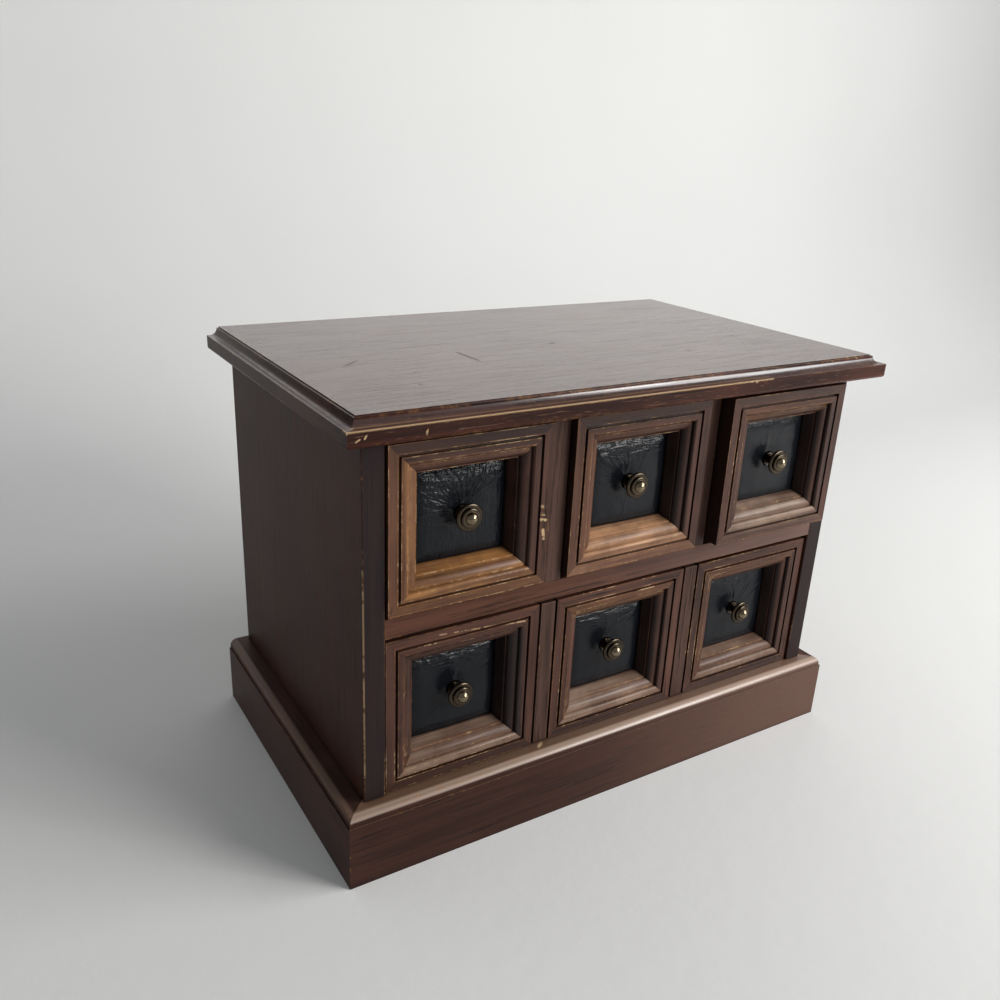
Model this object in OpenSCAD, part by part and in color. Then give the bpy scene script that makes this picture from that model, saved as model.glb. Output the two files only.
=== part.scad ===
/* [Case] */
// Width of the case over its two side boards
case_w = 246; // [230:1:280]
// Depth of the case from the front edges to the back face
case_d = 148; // [140:1:180]
// Thickness of each side board
side_t = 9; // [7:0.5:12]
// Thickness of the back panel
back_t = 5; // [4:0.5:7]
// Thickness of the floor board
floor_t = 8; // [6:0.5:10]
// Thickness of the shelf between the two rows
shelf_t = 8.3; // [6:0.1:10]
// Thickness of the two dividers of the upper row
divider_t = 7.7; // [6:0.1:10]
// Height of the opening of the lower row
lower_h = 71; // [65:0.5:80]
// Height of the openings of the upper row
upper_h = 71.9; // [65:0.1:80]

/* [Top board] */
// Thickness of the top board
top_t = 10; // [8:0.5:14]
// How far the top board stands out past each side
top_side_out = 10; // [6:0.5:14]
// How far the top board stands out past the front
top_front_out = 11.7; // [8:0.1:14]
// How far the top board stands out past the back
top_back_out = 2; // [0.5:0.5:5]
// Height of the upright edge of the top board
fascia_h = 6.3; // [5:0.1:7]
// Width of the flat fillet above the upright edge
top_fillet_w = 1.4; // [0.5:0.1:2]
// Radius of the hollow along the edge
cove_r = 3.2; // [2:0.1:3.4]
// Width of the small ledge above the hollow
top_ledge_w = 0.9; // [0.4:0.1:1.5]
// Rounding of the lower arris of the edge
fascia_round = 1.2; // [0.5:0.1:2]

/* [Plinth] */
// Height of the plinth
plinth_h = 33.4; // [28:0.1:40]
// Thickness of the moulded plinth boards
plinth_t = 18; // [14:0.5:22]
// Thickness of the rear plinth board
plinth_back_t = 12; // [8:0.5:14]
// How far the plinth stands out past each side
plinth_side_out = 9.7; // [7:0.1:12]
// How far the plinth stands out past the front
plinth_front_out = 7.2; // [5:0.1:10]
// How far the plinth stands out past the back
plinth_back_out = 1.3; // [0.5:0.1:3]
// Radius of the bead on the upper edge of the plinth
bead_r = 3.3; // [2:0.1:4]
// Height of the upright fillet under the bead
bead_fillet_h = 1.2; // [0.5:0.1:2]
// Width of the step under the bead
bead_step_w = 0.6; // [0.3:0.1:1.2]
// Side of the square glue blocks under the floor
block_w = 13; // [8:0.5:16]
// Length of each glue block
block_l = 36; // [20:1:50]
// Distance of the front and rear blocks from the middle
block_x = 72; // [50:1:85]

/* [Drawer fronts] */
// Gap beside each drawer front
front_gap = 0.75; // [0.4:0.05:1.2]
// Gap above the lower drawer front
lower_over = 2.3; // [1:0.1:4]
// How much lower the upper fronts are than their openings
upper_trim = 4.7; // [3.5:0.1:6]
// Height of the left front above the shelf
left_lift = 0.8; // [0.5:0.1:3]
// Height of the middle front above the shelf
middle_lift = 2.2; // [0.5:0.1:3]
// Height of the right front above the shelf
right_lift = 2.4; // [0.5:0.1:3]
// How far the left front stands out of the case
left_pull = 1; // [0:0.1:9]
// How far the middle front stands out of the case
middle_pull = 3.6; // [0:0.1:9]
// How far the right front stands out of the case
right_pull = 7.4; // [0:0.1:9]
// How far the lower front, and a closed upper front, lies behind the case edges
closed_set = 1.2; // [0.5:0.1:2]
// Depth of the moulded sticks that frame each panel
stick_d = 11; // [10:0.5:14]
// Width of the flat outer band of a stick
flat_w = 4; // [3:0.1:5]
// Width of the groove beside the flat band
groove_w = 1.2; // [0.8:0.1:1.6]
// Depth of the groove beside the flat band
groove_d = 1.5; // [0.8:0.1:2.5]
// Width of the raised lip inside the groove
lip_w = 3.4; // [2.6:0.1:4]
// Rounding of the inner edge of the lip
lip_round = 1.1; // [0.6:0.1:1.4]
// Width of the sunk bead inside the lip
sunk_bead_w = 4; // [3.2:0.1:4.6]
// Radius of the sunk bead
sunk_bead_r = 3.2; // [2.8:0.1:3.6]
// Depth of the top of the sunk bead
sunk_bead_d = 1.5; // [1.3:0.1:2]
// Width of the fillet between the bead and the inner slope
inner_fillet_w = 0.6; // [0.3:0.1:1]
// Depth of the fillet between the bead and the inner slope
inner_fillet_d = 4.2; // [3.8:0.1:4.6]
// Width of the inner slope down to the leather
slope_w = 1.8; // [1.2:0.1:2.4]
// Depth of the leather behind the face of the frame
leather_set = 8.7; // [7.5:0.1:9.5]
// Crown of the padded leather at its middle
leather_crown = 0.8; // [0.3:0.1:1.2]
// Width of the pulled-in dimple round the knob
dimple_w = 15; // [11:0.5:18]
// Depth of the dimple
dimple_d = 0.9; // [0.5:0.1:1.2]
// Thickness of the board behind the frame
front_board_t = 6; // [4:0.5:8]
// Width of the grooves beside the upright strips of the lower front
strip_groove_w = 1.15; // [0.8:0.05:1.5]

/* [Knobs] */
// Radius of the widest ring of a knob
knob_r = 5.7; // [4.5:0.1:6.5]
// Length of a knob from the leather to its tip
knob_l = 10.4; // [9:0.1:12]
// Radius of the neck of a knob
knob_neck_r = 1.9; // [1.7:0.1:2.4]
// Radius of the collar at the foot of a knob
knob_foot_r = 3; // [2.6:0.1:3.4]
// Thickness of the collar at the foot of a knob
knob_foot_t = 0.9; // [0.6:0.1:1.2]
// Width and height of the step on the collar
knob_foot_step = 0.5; // [0.3:0.1:0.7]
// Radius of the rounded edge of the widest ring
knob_ring_bead_r = 0.85; // [0.6:0.05:1]
// Height of the widest ring above the foot
knob_ring_z = 6.4; // [5.8:0.1:6.8]
// Radius of the inner ring of a knob
knob_step_r = 4.1; // [3.6:0.1:4.4]
// Height of the inner ring above the widest one
knob_step_h = 1.9; // [1.6:0.1:2.2]
// Radius of the rounded edge of the inner ring
knob_step_bead_r = 0.7; // [0.5:0.05:0.8]
// Radius of the domed tip of a knob
knob_tip_r = 2.85; // [2.4:0.05:3.1]
// Radius of the shank of the knob screw
screw_r = 1.2; // [0.9:0.1:1.4]
// Radius of the head of the knob screw
screw_head_r = 3; // [2.4:0.1:3.6]
// Height of the head of the knob screw
screw_head_h = 1.6; // [1:0.1:2]
// How far the screw reaches into the knob
screw_reach = 4; // [3:0.1:4.4]

/* [Drawer boxes] */
// Thickness of the drawer walls
wall_t = 5; // [4:0.5:7]
// Height of the walls of the upper drawers
upper_wall_h = 56; // [45:1:58]
// Height of the walls of the lower drawer
lower_wall_h = 54; // [45:1:58]
// Thickness of the drawer bottoms
bottom_t = 3; // [2:0.5:4]
// Height of a drawer bottom above the lower edge of the walls
bottom_lift = 2.5; // [2:0.5:4]
// Depth of the grooves that hold a drawer bottom
bottom_groove = 2; // [1:0.5:3]
// Thickness of the cloth lining
lining_t = 1; // [0.6:0.1:1.5]
// Height of bare wall above the lining
lining_drop = 2; // [1:0.5:5]
// How much narrower a drawer box is than its front, on each side
box_inset = 0.3; // [0.2:0.1:0.6]
// Gap under and behind a closed drawer
run_gap = 0.3; // [0.2:0.05:0.6]

/* [Musical movement] */
// Margin of the bedplate round the movement
bed_margin = 1.5; // [1:0.1:3]
// Thickness of the bedplate
bed_t = 2.5; // [2:0.1:3.5]
// Room between the bedplate and the rear plinth board
bed_rear_room = 2; // [1:0.5:4]
// Room between the bedplate and the lower drawer
bed_front_room = 4.5; // [3.5:0.5:8]
// Radius of the spring barrel
barrel_r = 10.6; // [9:0.1:12]
// Height of the spring barrel
barrel_h = 8.8; // [8:0.1:10]
// Wall of the spring barrel
barrel_wall = 0.8; // [0.5:0.1:1]
// Thickness of the mainspring strip
spring_t = 0.5; // [0.3:0.1:0.6]
// Turns of the mainspring
spring_turns = 5; // [3:1:6]
// Teeth of the crown wheel on the barrel
crown_teeth = 36; // [30:2:44]
// Pitch radius of the crown wheel
crown_r = 9.4; // [8.4:0.1:9.8]
// Height of the crown wheel teeth
crown_tooth_h = 1.2; // [1:0.1:1.3]
// Teeth of the pinion on the cylinder
pinion_teeth = 12; // [9:1:14]
// Thickness of all the wheel teeth
tooth_w = 0.42; // [0.3:0.01:0.45]
// Radius of the pinned cylinder
cylinder_r = 6.5; // [5:0.1:6.8]
// Length of the pinned cylinder
cylinder_l = 20; // [16:0.5:26]
// Height of the pins above the cylinder
pin_h = 0.5; // [0.3:0.1:0.6]
// Notes of the comb
notes = 18; // [12:1:22]
// Pins on the cylinder for each note
pins_per_note = 2; // [1:1:3]
// Length of the comb teeth
comb_tooth_l = 9; // [7:0.5:11]
// Thickness of the comb
comb_t = 0.9; // [0.6:0.1:1.2]
// Teeth of the gear on the end of the cylinder
drive_teeth = 32; // [31:1:40]
// Teeth of the governor pinion
governor_teeth = 8; // [7:1:12]
// Teeth of the worm wheel
worm_wheel_teeth = 16; // [12:1:20]
// Tooth size of the governor gears, pitch diameter over teeth
gear_module = 0.45; // [0.43:0.01:0.5]
// Radius of the fan
fan_r = 4.5; // [3.5:0.1:4.8]
// Height of the fan blades
fan_h = 3.5; // [2:0.1:5]
// Reach of the stop lever in front of the bedplate
lever_reach = 4.2; // [2:0.1:4.2]
// Radius of the winding arbor
arbor_r = 1.5; // [1.2:0.1:1.8]
// Radius of each wing of the winding key
key_wing_r = 5; // [4:0.1:6]
// Thickness of the winding key
key_t = 2; // [1.5:0.1:3]
// Height of the winding key above the ground
key_clear = 4; // [2:0.5:6]

/* [Hidden] */
$fn = 64;

// Colours of the materials
wood = "#3e2c26";
worn_wood = "#5f4234";
raw_wood = "#a98a62";
leather = "#21252a";
antique_brass = "#6b5a3c";
brass = "#b5965a";
steel = "#9a9a9c";
felt = "#6a1f2b";

// Clearance round screws and nails in their holes
hole_gap = 0.1;
// Half the width of a glue line, at a mitre, a butt joint or a lining
glue_gap = 0.04;
// Clearance round turning shafts in their bearings
shaft_gap = 0.15;
// End play of turning parts
end_gap = 0.3;
// How far a cutter runs past what it cuts
over = 1;

// Levels
floor_z = plinth_h;
shelf_z = floor_z + lower_h;
upper_z = shelf_z + shelf_t;
top_z = upper_z + upper_h;
overall_h = top_z + top_t;

// Places in plan, with the origin under the middle of the top board
top_w = case_w + 2 * top_side_out;
top_d = case_d + top_front_out + top_back_out;
front_y = top_front_out - top_d / 2;
back_y = front_y + case_d;
back_in_y = back_y - back_t;
side_in_x = case_w / 2 - side_t;
plinth_x = case_w / 2 + plinth_side_out;
plinth_front_y = front_y - plinth_front_out;
plinth_back_y = back_y + plinth_back_out;
floor_x = plinth_x - plinth_t;
floor_front_y = plinth_front_y + plinth_t;
floor_back_y = plinth_back_y - plinth_back_t;

// Openings and panels
opening_w = (2 * side_in_x - 2 * divider_t) / 3;
opening_pitch = opening_w + divider_t;
panel_w = opening_w - 2 * front_gap;
upper_front_h = upper_h - upper_trim;
lower_front_h = lower_h - run_gap - lower_over;
lower_front_w = 2 * side_in_x - 2 * front_gap;
strip_w = (lower_front_w - 3 * panel_w - 4 * strip_groove_w) / 2;
lower_pitch = panel_w + strip_w + 2 * strip_groove_w;
lips = [left_lift, middle_lift, right_lift];
pulls = [left_pull, middle_pull, right_pull];

// Stick profile, from the outer edge inwards
lip_s = flat_w + groove_w;
bead_s = lip_s + lip_w;
fillet_s = bead_s + sunk_bead_w;
slope_s = fillet_s + inner_fillet_w;
stick_w = slope_s + slope_w;
leather_t = stick_d - leather_set;
leather_gap = 0.1;
knob_seat = leather_t - 0.3;

// Drawer boxes
front_t = stick_d + front_board_t;
upper_box_w = panel_w - 2 * box_inset;
lower_box_w = lower_front_w - 2 * box_inset;
upper_box_back = back_in_y - run_gap - front_y - closed_set;

// Nails of the back panel
brad_r = 0.7;
brad_l = 14;
brad_head_r = 1.3;
brad_head_h = 0.7;

// Sizes of the movement's smaller pieces
pinion_pitch_r = crown_r * pinion_teeth / crown_teeth;
pinion_tip_r = pinion_pitch_r + crown_tooth_h * 0.42;
pinion_root_r = pinion_pitch_r - crown_tooth_h * 0.63;
pinion_face = 1.6;
crown_t = 1;
post_t = 2;
post_w = 5;
post_gap = 0.6;
gear_t = 1.6;
gear_gap = 0.2;
cylinder_shaft_r = 1;
pin_r = 0.2;
pin_root = 0.5;
drive_r = gear_module * drive_teeth / 2;
governor_r = gear_module * governor_teeth / 2;
worm_wheel_r = gear_module * worm_wheel_teeth / 2;
gear_addendum = 0.4;
tooth_root = 0.4;
gear_dedendum = 0.55;
governor_angle = 20;
governor_reach = (drive_r + governor_r) * cos(governor_angle);
governor_shaft_r = 0.7;
governor_post_t = 1.4;
governor_post_w = 2.2;
worm_wheel_gap = 1.4;
worm_wheel_t = 0.8;
governor_gap = 1.2;
worm_pitch = PI * gear_module;
worm_eccentric = 0.4;
worm_r = 0.9;
worm_l = 4.8;
worm_mesh = 0.85;
worm_tip_r = worm_wheel_r + 0.1;
fan_shaft_r = 0.6;
fan_arm_t = 1.2;
fan_arm_w = 4;
fan_post_y = 3.5;
fan_post_t = 2;
fan_blade_t = 0.4;
comb_gap = 0.4;
comb_base_w = 6;
comb_margin = 0.6;
comb_slot = 0.3;
comb_screw_r = 0.9;
comb_screw_head_r = 1.6;
comb_screw_head_h = 1;
bed_screw_r = 1.2;
bed_screw_head_r = 2.3;
bed_screw_head_h = 1.4;
bed_screw_l = 8;
lever_t = 0.8;
lever_w = 2;
lever_pin_r = 1;
lever_hub_r = 2.2;
key_stem_r = 2.4;
arbor_hole_r = 4;

// The bedplate is as large as what stands on it
train_l = gear_t + worm_wheel_gap + worm_wheel_t + governor_gap + governor_post_t;
bed_l = 2 * barrel_r + 2 * post_gap + post_t + cylinder_l + gear_gap + train_l + 2 * bed_margin;
front_reach = governor_reach + worm_tip_r + worm_mesh + fan_post_y + fan_post_t / 2;
back_reach = cylinder_r + pin_h + comb_gap + comb_tooth_l + comb_base_w;
bed_w = front_reach + back_reach + 2 * bed_margin;
bed_y = floor_back_y - bed_rear_room - bed_w / 2;
lower_box_back = bed_y - bed_w / 2 - bed_front_room - front_y - closed_set;

// Levels of the movement, from the floor board up
bed_z = floor_z + bed_t;
barrel_z = bed_z + end_gap;
crown_z = barrel_z + barrel_h;
tooth_z = crown_z + crown_t;
axis_z = tooth_z + crown_tooth_h * 0.55 + pinion_pitch_r;
governor_z = axis_z - (drive_r + governor_r) * sin(governor_angle);
fan_arm_z = governor_z + worm_wheel_r + 2.2;
fan_z = fan_arm_z + fan_arm_t + post_gap;
comb_rest_z = axis_z - comb_t / 2;
lever_z = fan_z + fan_h / 2 - lever_t / 2;
key_top_z = floor_z - floor_t - 1;

// Places of the movement, from the middle of the bedplate
axis_y = front_reach + bed_margin - bed_w / 2;
barrel_x = barrel_r + bed_margin - bed_l / 2;
left_post_x = barrel_x + barrel_r + post_gap;
cylinder_x = left_post_x + post_t + post_gap;
gear_x = cylinder_x + cylinder_l + gear_gap;
right_post_x = gear_x + gear_t + 0.8;
governor_y = axis_y - governor_reach;
governor_left_x = gear_x - 1 - governor_post_t;
worm_wheel_x = gear_x + gear_t + worm_wheel_gap;
governor_right_x = worm_wheel_x + worm_wheel_t + governor_gap;
worm_x = worm_wheel_x + worm_wheel_t / 2;
worm_y = governor_y - worm_tip_r - worm_mesh;
comb_y = axis_y + cylinder_r + pin_h + comb_gap;
note_pitch = (cylinder_l - 2 * comb_margin) / notes;
lever_x = worm_x - fan_r - 10;
lever_y = worm_y - 0.5;
lever_tail_x = lever_x - 6;
bed_screws = [
  [3 - bed_l / 2, 3.5 - bed_w / 2],
  [3 - bed_l / 2, bed_w / 2 - 3.5],
  [bed_l / 2 - 3.5, bed_w / 2 - 6.5]
];

// A box between two corners
module block(low, high) {
  translate(low)
    cube(high - low);
}

// A box centred in X, with its width, and its Y and Z ranges
module plank(w, y0, y1, z0, z1) {
  block([-w / 2, y0, z0], [w / 2, y1, z1]);
}

// Edge of the top board that is cut away, with s going in from the edge and z up
module top_edge_cut() {
  ledge_z = fascia_h + cove_r;
  cove_s = top_fillet_w;
  difference() {
    translate([-over, fascia_h])
      square([over + cove_s + cove_r, top_t]);
    difference() {
      translate([cove_s, fascia_h])
        square([cove_r, cove_r]);
      translate([cove_s, ledge_z])
        circle(cove_r);
    }
  }
  translate([-over, ledge_z])
    square([over + cove_s + cove_r + top_ledge_w, top_t]);
  difference() {
    translate([-over, -over])
      square([over + fascia_round, over + fascia_round]);
    translate([fascia_round, fascia_round])
      circle(fascia_round);
    translate([fascia_round, -2 * over])
      square(4 * over);
  }
}

// Runs an edge cut along a board edge of a length, with the board to +Y
module edge_cut_run(length) {
  rotate([90, 0, 90])
    translate([0, 0, -length / 2 - over])
      linear_extrude(length + 2 * over)
        top_edge_cut();
}

module top_board() {
  color(wood)
    translate([0, 0, top_z])
      difference() {
        plank(top_w, -top_d / 2, top_d / 2, 0, top_t);
        translate([0, -top_d / 2, 0])
          edge_cut_run(top_w);
        for (turn = [90, -90])
          rotate([0, 0, turn])
            translate([0, -top_w / 2, 0])
              edge_cut_run(top_d);
      }
}

// A side board, on the left for -1 and on the right for 1
module side_board(hand) {
  translate([hand * (case_w - side_t) / 2, 0, 0])
    plank(side_t, front_y, back_y, floor_z, top_z);
}

module left_side() {
  color(wood)
    side_board(-1);
}

module right_side() {
  color(wood)
    side_board(1);
}

// One nail along +Y from its head, with room round it
module brad(gap) {
  rotate([-90, 0, 0]) {
    cylinder(r = brad_r + gap, h = brad_l + gap);
    cylinder(r = brad_head_r + gap, h = brad_head_h);
  }
}

// All the nails, driven from the back into the shelf and the dividers
module brads(gap) {
  for (i = [-2.5 : 2.5])
    translate([i * side_in_x / 3, back_y, shelf_z + shelf_t / 2])
      rotate([0, 0, 180])
        brad(gap);
  for (hand = [-1, 1], share = [0.3, 0.75])
    translate([hand * opening_pitch / 2, back_y, upper_z + upper_h * share])
      rotate([0, 0, 180])
        brad(gap);
}

module back_brads() {
  color(steel)
    brads(0);
}

module back_panel() {
  color(raw_wood)
    difference() {
      plank(2 * side_in_x, back_in_y, back_y, floor_z, top_z);
      brads(hole_gap);
    }
}

module shelf() {
  color(wood)
    difference() {
      plank(2 * side_in_x, front_y, back_in_y, shelf_z, upper_z);
      brads(hole_gap);
    }
}

// A divider of the upper row, on the left for -1 and on the right for 1
module divider(hand) {
  difference() {
    translate([hand * opening_pitch / 2, 0, 0])
      plank(divider_t, front_y, back_in_y, upper_z, top_z);
    brads(hole_gap);
  }
}

module left_divider() {
  color(wood)
    divider(-1);
}

module right_divider() {
  color(wood)
    divider(1);
}

module floor_board() {
  color(raw_wood)
    difference() {
      plank(2 * floor_x, floor_front_y, floor_back_y, floor_z - floor_t, floor_z);
      translate([barrel_x, bed_y + axis_y, 0])
        cylinder(r = arbor_hole_r, h = floor_z + over);
      at_bed_screws()
        translate([0, 0, -bed_screw_l])
          cylinder(r = bed_screw_r + hole_gap, h = bed_screw_l + over);
    }
}

// Section of a plinth board, with s going in from its face and z up
module plinth_profile() {
  bead_z = plinth_h - bead_r;
  square([plinth_t, bead_z - bead_fillet_h]);
  translate([bead_step_w, 0])
    square([plinth_t - bead_step_w, bead_z]);
  translate([bead_step_w + bead_r, 0])
    square([plinth_t - bead_step_w - bead_r, plinth_h]);
  translate([bead_step_w + bead_r, bead_z])
    circle(bead_r);
}

// A plinth board along X with its face at y 0, mitred at the left and, if asked, at the right
module plinth_board(length, mitre_right) {
  right = mitre_right ? length / 2 : length / 2 + 2 * plinth_t;
  intersection() {
    rotate([90, 0, 90])
      translate([0, 0, -length / 2])
        linear_extrude(length)
          plinth_profile();
    translate([0, 0, -over])
      linear_extrude(plinth_h + 2 * over)
        polygon([
          [glue_gap - length / 2 - over, -over],
          [right + over - glue_gap, -over],
          [right - plinth_t - over - glue_gap, plinth_t + over],
          [plinth_t + over + glue_gap - length / 2, plinth_t + over]
        ]);
  }
}

module plinth_front() {
  color(wood)
    translate([0, plinth_front_y, 0])
      plinth_board(2 * plinth_x, true);
}

// Length of a side plinth board, from the front corner to the back
plinth_side_l = plinth_back_y - plinth_front_y;

module plinth_right() {
  color(wood)
    translate([plinth_x, plinth_front_y + plinth_side_l / 2, 0])
      rotate([0, 0, 90])
        plinth_board(plinth_side_l, false);
}

module plinth_left() {
  color(wood)
    mirror([1, 0, 0])
      translate([plinth_x, plinth_front_y + plinth_side_l / 2, 0])
        rotate([0, 0, 90])
          plinth_board(plinth_side_l, false);
}

module plinth_back() {
  color(raw_wood)
    plank(2 * floor_x, floor_back_y, plinth_back_y, 0, plinth_h);
}

module glue_blocks() {
  top = floor_z - floor_t;
  color(raw_wood) {
    for (hand = [-1, 1]) {
      translate([hand * block_x, 0, 0]) {
        plank(block_l, floor_front_y, floor_front_y + block_w, top - block_w, top);
        plank(block_l, floor_back_y - block_w, floor_back_y, top - block_w, top);
      }
      translate([hand * (floor_x - block_w / 2), 0, 0])
        plank(block_w, -block_l / 2, block_l / 2, top - block_w, top);
    }
  }
}

// Section of a frame stick, with s going in from the outer edge and y back from the face
module stick_profile() {
  square([flat_w, stick_d]);
  translate([0, groove_d])
    square([lip_s, stick_d - groove_d]);
  translate([lip_s, 0])
    square([lip_w - lip_round, stick_d]);
  translate([lip_s, lip_round])
    square([lip_w, stick_d - lip_round]);
  translate([bead_s - lip_round, lip_round])
    circle(lip_round);
  intersection() {
    translate([bead_s + 1, sunk_bead_d + sunk_bead_r])
      circle(sunk_bead_r);
    translate([bead_s, 0])
      square([sunk_bead_w, inner_fillet_d]);
  }
  translate([bead_s - over, inner_fillet_d])
    square([slope_s - bead_s + over, stick_d - inner_fillet_d]);
  polygon([
    [slope_s - over, inner_fillet_d],
    [slope_s, inner_fillet_d],
    [stick_w, leather_set],
    [stick_w, stick_d],
    [slope_s - over, stick_d]
  ]);
}

// A mitred stick along X, its outer edge at z 0 and its face at y 0
module stick(length) {
  intersection() {
    rotate([0, -90, 0])
      translate([0, 0, -length / 2])
        linear_extrude(length)
          stick_profile();
    translate([0, stick_d + over, 0])
      rotate([90, 0, 0])
        linear_extrude(stick_d + 2 * over)
          polygon([
            [glue_gap - length / 2 - over, -over],
            [length / 2 + over - glue_gap, -over],
            [length / 2 - stick_w - over - glue_gap, stick_w + over],
            [stick_w + over + glue_gap - length / 2, stick_w + over]
          ]);
  }
}

// Four mitred sticks round the middle of a panel of a height
module panel_frame(h) {
  for (turn = [0, 180])
    rotate([0, turn, 0])
      translate([0, 0, -h / 2])
        stick(panel_w);
  for (turn = [90, -90])
    rotate([0, turn, 0])
      translate([0, 0, -panel_w / 2])
        stick(h);
}

// Half section of the padded leather, with the radius along x and the height off the board along y
module leather_profile(reach) {
  top = leather_t + leather_crown;
  crown_arc_r = (reach * reach + leather_crown * leather_crown) / (2 * leather_crown);
  dimple_arc_r = (dimple_w * dimple_w / 4 + dimple_d * dimple_d) / (2 * dimple_d);
  difference() {
    intersection() {
      square([reach + over, top]);
      translate([0, top - crown_arc_r])
        circle(crown_arc_r, $fn = 2400);
    }
    translate([0, top - dimple_d + dimple_arc_r])
      circle(dimple_arc_r, $fn = 240);
    translate([0, knob_seat])
      square([knob_foot_r + hole_gap, top]);
    square([screw_r + hole_gap, top]);
  }
}

// Padded leather in the window of a panel of a height, drawn in at the knob
module panel_leather(h) {
  w = panel_w - 2 * stick_w - 2 * leather_gap;
  tall = h - 2 * stick_w - 2 * leather_gap;
  reach = sqrt(w * w + tall * tall) / 2;
  intersection() {
    translate([0, stick_d, 0])
      rotate([90, 0, 0])
        rotate_extrude()
          leather_profile(reach);
    plank(w, 0, stick_d + over, -tall / 2, tall / 2);
  }
}

// Half section of a knob, with the radius along x and the length from its foot along y
module knob_profile() {
  step_z = knob_ring_z + knob_step_h;
  square([knob_foot_r, knob_foot_t]);
  translate([0, knob_foot_t])
    square([knob_foot_r - knob_foot_step, knob_foot_step]);
  square([knob_neck_r, knob_ring_z]);
  polygon([
    [0, knob_ring_z - 2.6 * knob_ring_bead_r],
    [knob_neck_r, knob_ring_z - 2.6 * knob_ring_bead_r],
    [knob_r - knob_ring_bead_r, knob_ring_z - knob_ring_bead_r],
    [knob_r - knob_ring_bead_r, knob_ring_z + knob_ring_bead_r],
    [0, knob_ring_z + knob_ring_bead_r]
  ]);
  translate([knob_r - knob_ring_bead_r, knob_ring_z])
    circle(knob_ring_bead_r);
  translate([0, knob_ring_z])
    square([knob_step_r - knob_step_bead_r, knob_step_h]);
  translate([knob_step_r - knob_step_bead_r, step_z - knob_step_bead_r])
    circle(knob_step_bead_r);
  translate([0, knob_l - knob_tip_r])
    intersection() {
      circle(knob_tip_r);
      translate([0, -knob_tip_r])
        square(2 * knob_tip_r);
    }
}

// A knob on the leather, pointing out of the panel
module panel_knob() {
  translate([0, stick_d - knob_seat, 0])
    rotate([90, 0, 0])
      difference() {
        rotate_extrude()
          knob_profile();
        translate([0, 0, -over])
          cylinder(r = screw_r + hole_gap, h = over + screw_reach + hole_gap);
      }
}

// Hole for the knob screw through the leather and the board
module screw_hole() {
  translate([0, stick_d / 2, 0])
    rotate([-90, 0, 0])
      cylinder(r = screw_r + hole_gap, h = front_t);
}

// Knob screw, driven from inside the drawer
module panel_screw() {
  translate([0, front_t, 0])
    rotate([90, 0, 0]) {
      cylinder(r = screw_r, h = front_board_t + knob_seat + screw_reach);
      translate([0, 0, -screw_head_h])
        cylinder(r = screw_head_r, h = screw_head_h);
    }
}

// Puts a panel's pieces at the middle of a front of a height
module at_panel(x, h) {
  translate([x, 0, h / 2])
    children();
}

// Board behind the frames of a front, with a screw hole for each panel at xs
module front_board(w, h, xs) {
  difference() {
    plank(w, stick_d, front_t, 0, h);
    for (x = xs)
      at_panel(x, h)
        screw_hole();
  }
}

// Two sides and a back of a drawer box, grooved for the bottom
module box_walls(w, back, z0, h) {
  difference() {
    union() {
      for (hand = [-1, 1])
        translate([hand * (w - wall_t) / 2, 0, 0])
          plank(wall_t, front_t, back, z0, z0 + h);
      plank(w - 2 * wall_t - 2 * glue_gap, back - wall_t, back, z0, z0 + h);
    }
    box_bottom(w, back, z0);
  }
}

// Bottom of a drawer box, held in the grooves of the walls
module box_bottom(w, back, z0) {
  low = z0 + bottom_lift;
  plank(w - 2 * wall_t + 2 * bottom_groove, front_t, back - wall_t + bottom_groove, low, low + bottom_t);
}

// Cloth lining of a drawer box, cut out round the screw heads at xs
module box_lining(w, back, z0, h, xs, front_h) {
  low = z0 + bottom_lift + bottom_t;
  in_w = w - 2 * wall_t;
  in_back = back - wall_t;
  difference() {
    plank(in_w - 2 * glue_gap, front_t + glue_gap, in_back - glue_gap, low + glue_gap, z0 + h - lining_drop);
    plank(in_w - 2 * lining_t, front_t + lining_t, in_back - lining_t, low + lining_t, z0 + h);
    for (x = xs)
      at_panel(x, front_h)
        translate([0, front_t - over, 0])
          rotate([-90, 0, 0])
            cylinder(r = screw_head_r + 2 * hole_gap, h = over + 2 * lining_t);
  }
}

// Puts an upper drawer's pieces at its place, 0 for left, 1 for middle and 2 for right
module at_upper(i) {
  translate([(i - 1) * opening_pitch, front_y - pulls[i], upper_z + lips[i]])
    children();
}

module upper_frame(i) {
  color(worn_wood)
    at_upper(i)
      at_panel(0, upper_front_h)
        panel_frame(upper_front_h);
}

module upper_leather(i) {
  color(leather)
    at_upper(i)
      at_panel(0, upper_front_h)
        panel_leather(upper_front_h);
}

module upper_knob(i) {
  color(antique_brass)
    at_upper(i)
      at_panel(0, upper_front_h)
        panel_knob();
}

module upper_screw(i) {
  color(steel)
    at_upper(i)
      at_panel(0, upper_front_h)
        panel_screw();
}

module upper_board(i) {
  color(raw_wood)
    at_upper(i)
      front_board(panel_w, upper_front_h, [0]);
}

module upper_walls(i) {
  color(raw_wood)
    at_upper(i)
      box_walls(upper_box_w, upper_box_back, run_gap - lips[i], upper_wall_h);
}

module upper_bottom(i) {
  color(raw_wood)
    at_upper(i)
      box_bottom(upper_box_w, upper_box_back, run_gap - lips[i]);
}

module upper_lining(i) {
  color(felt)
    at_upper(i)
      box_lining(upper_box_w, upper_box_back, run_gap - lips[i], upper_wall_h, [0], upper_front_h);
}

module left_drawer_frame() {
  upper_frame(0);
}

module left_drawer_leather() {
  upper_leather(0);
}

module left_drawer_knob() {
  upper_knob(0);
}

module left_drawer_knob_screw() {
  upper_screw(0);
}

module left_drawer_front_board() {
  upper_board(0);
}

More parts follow.
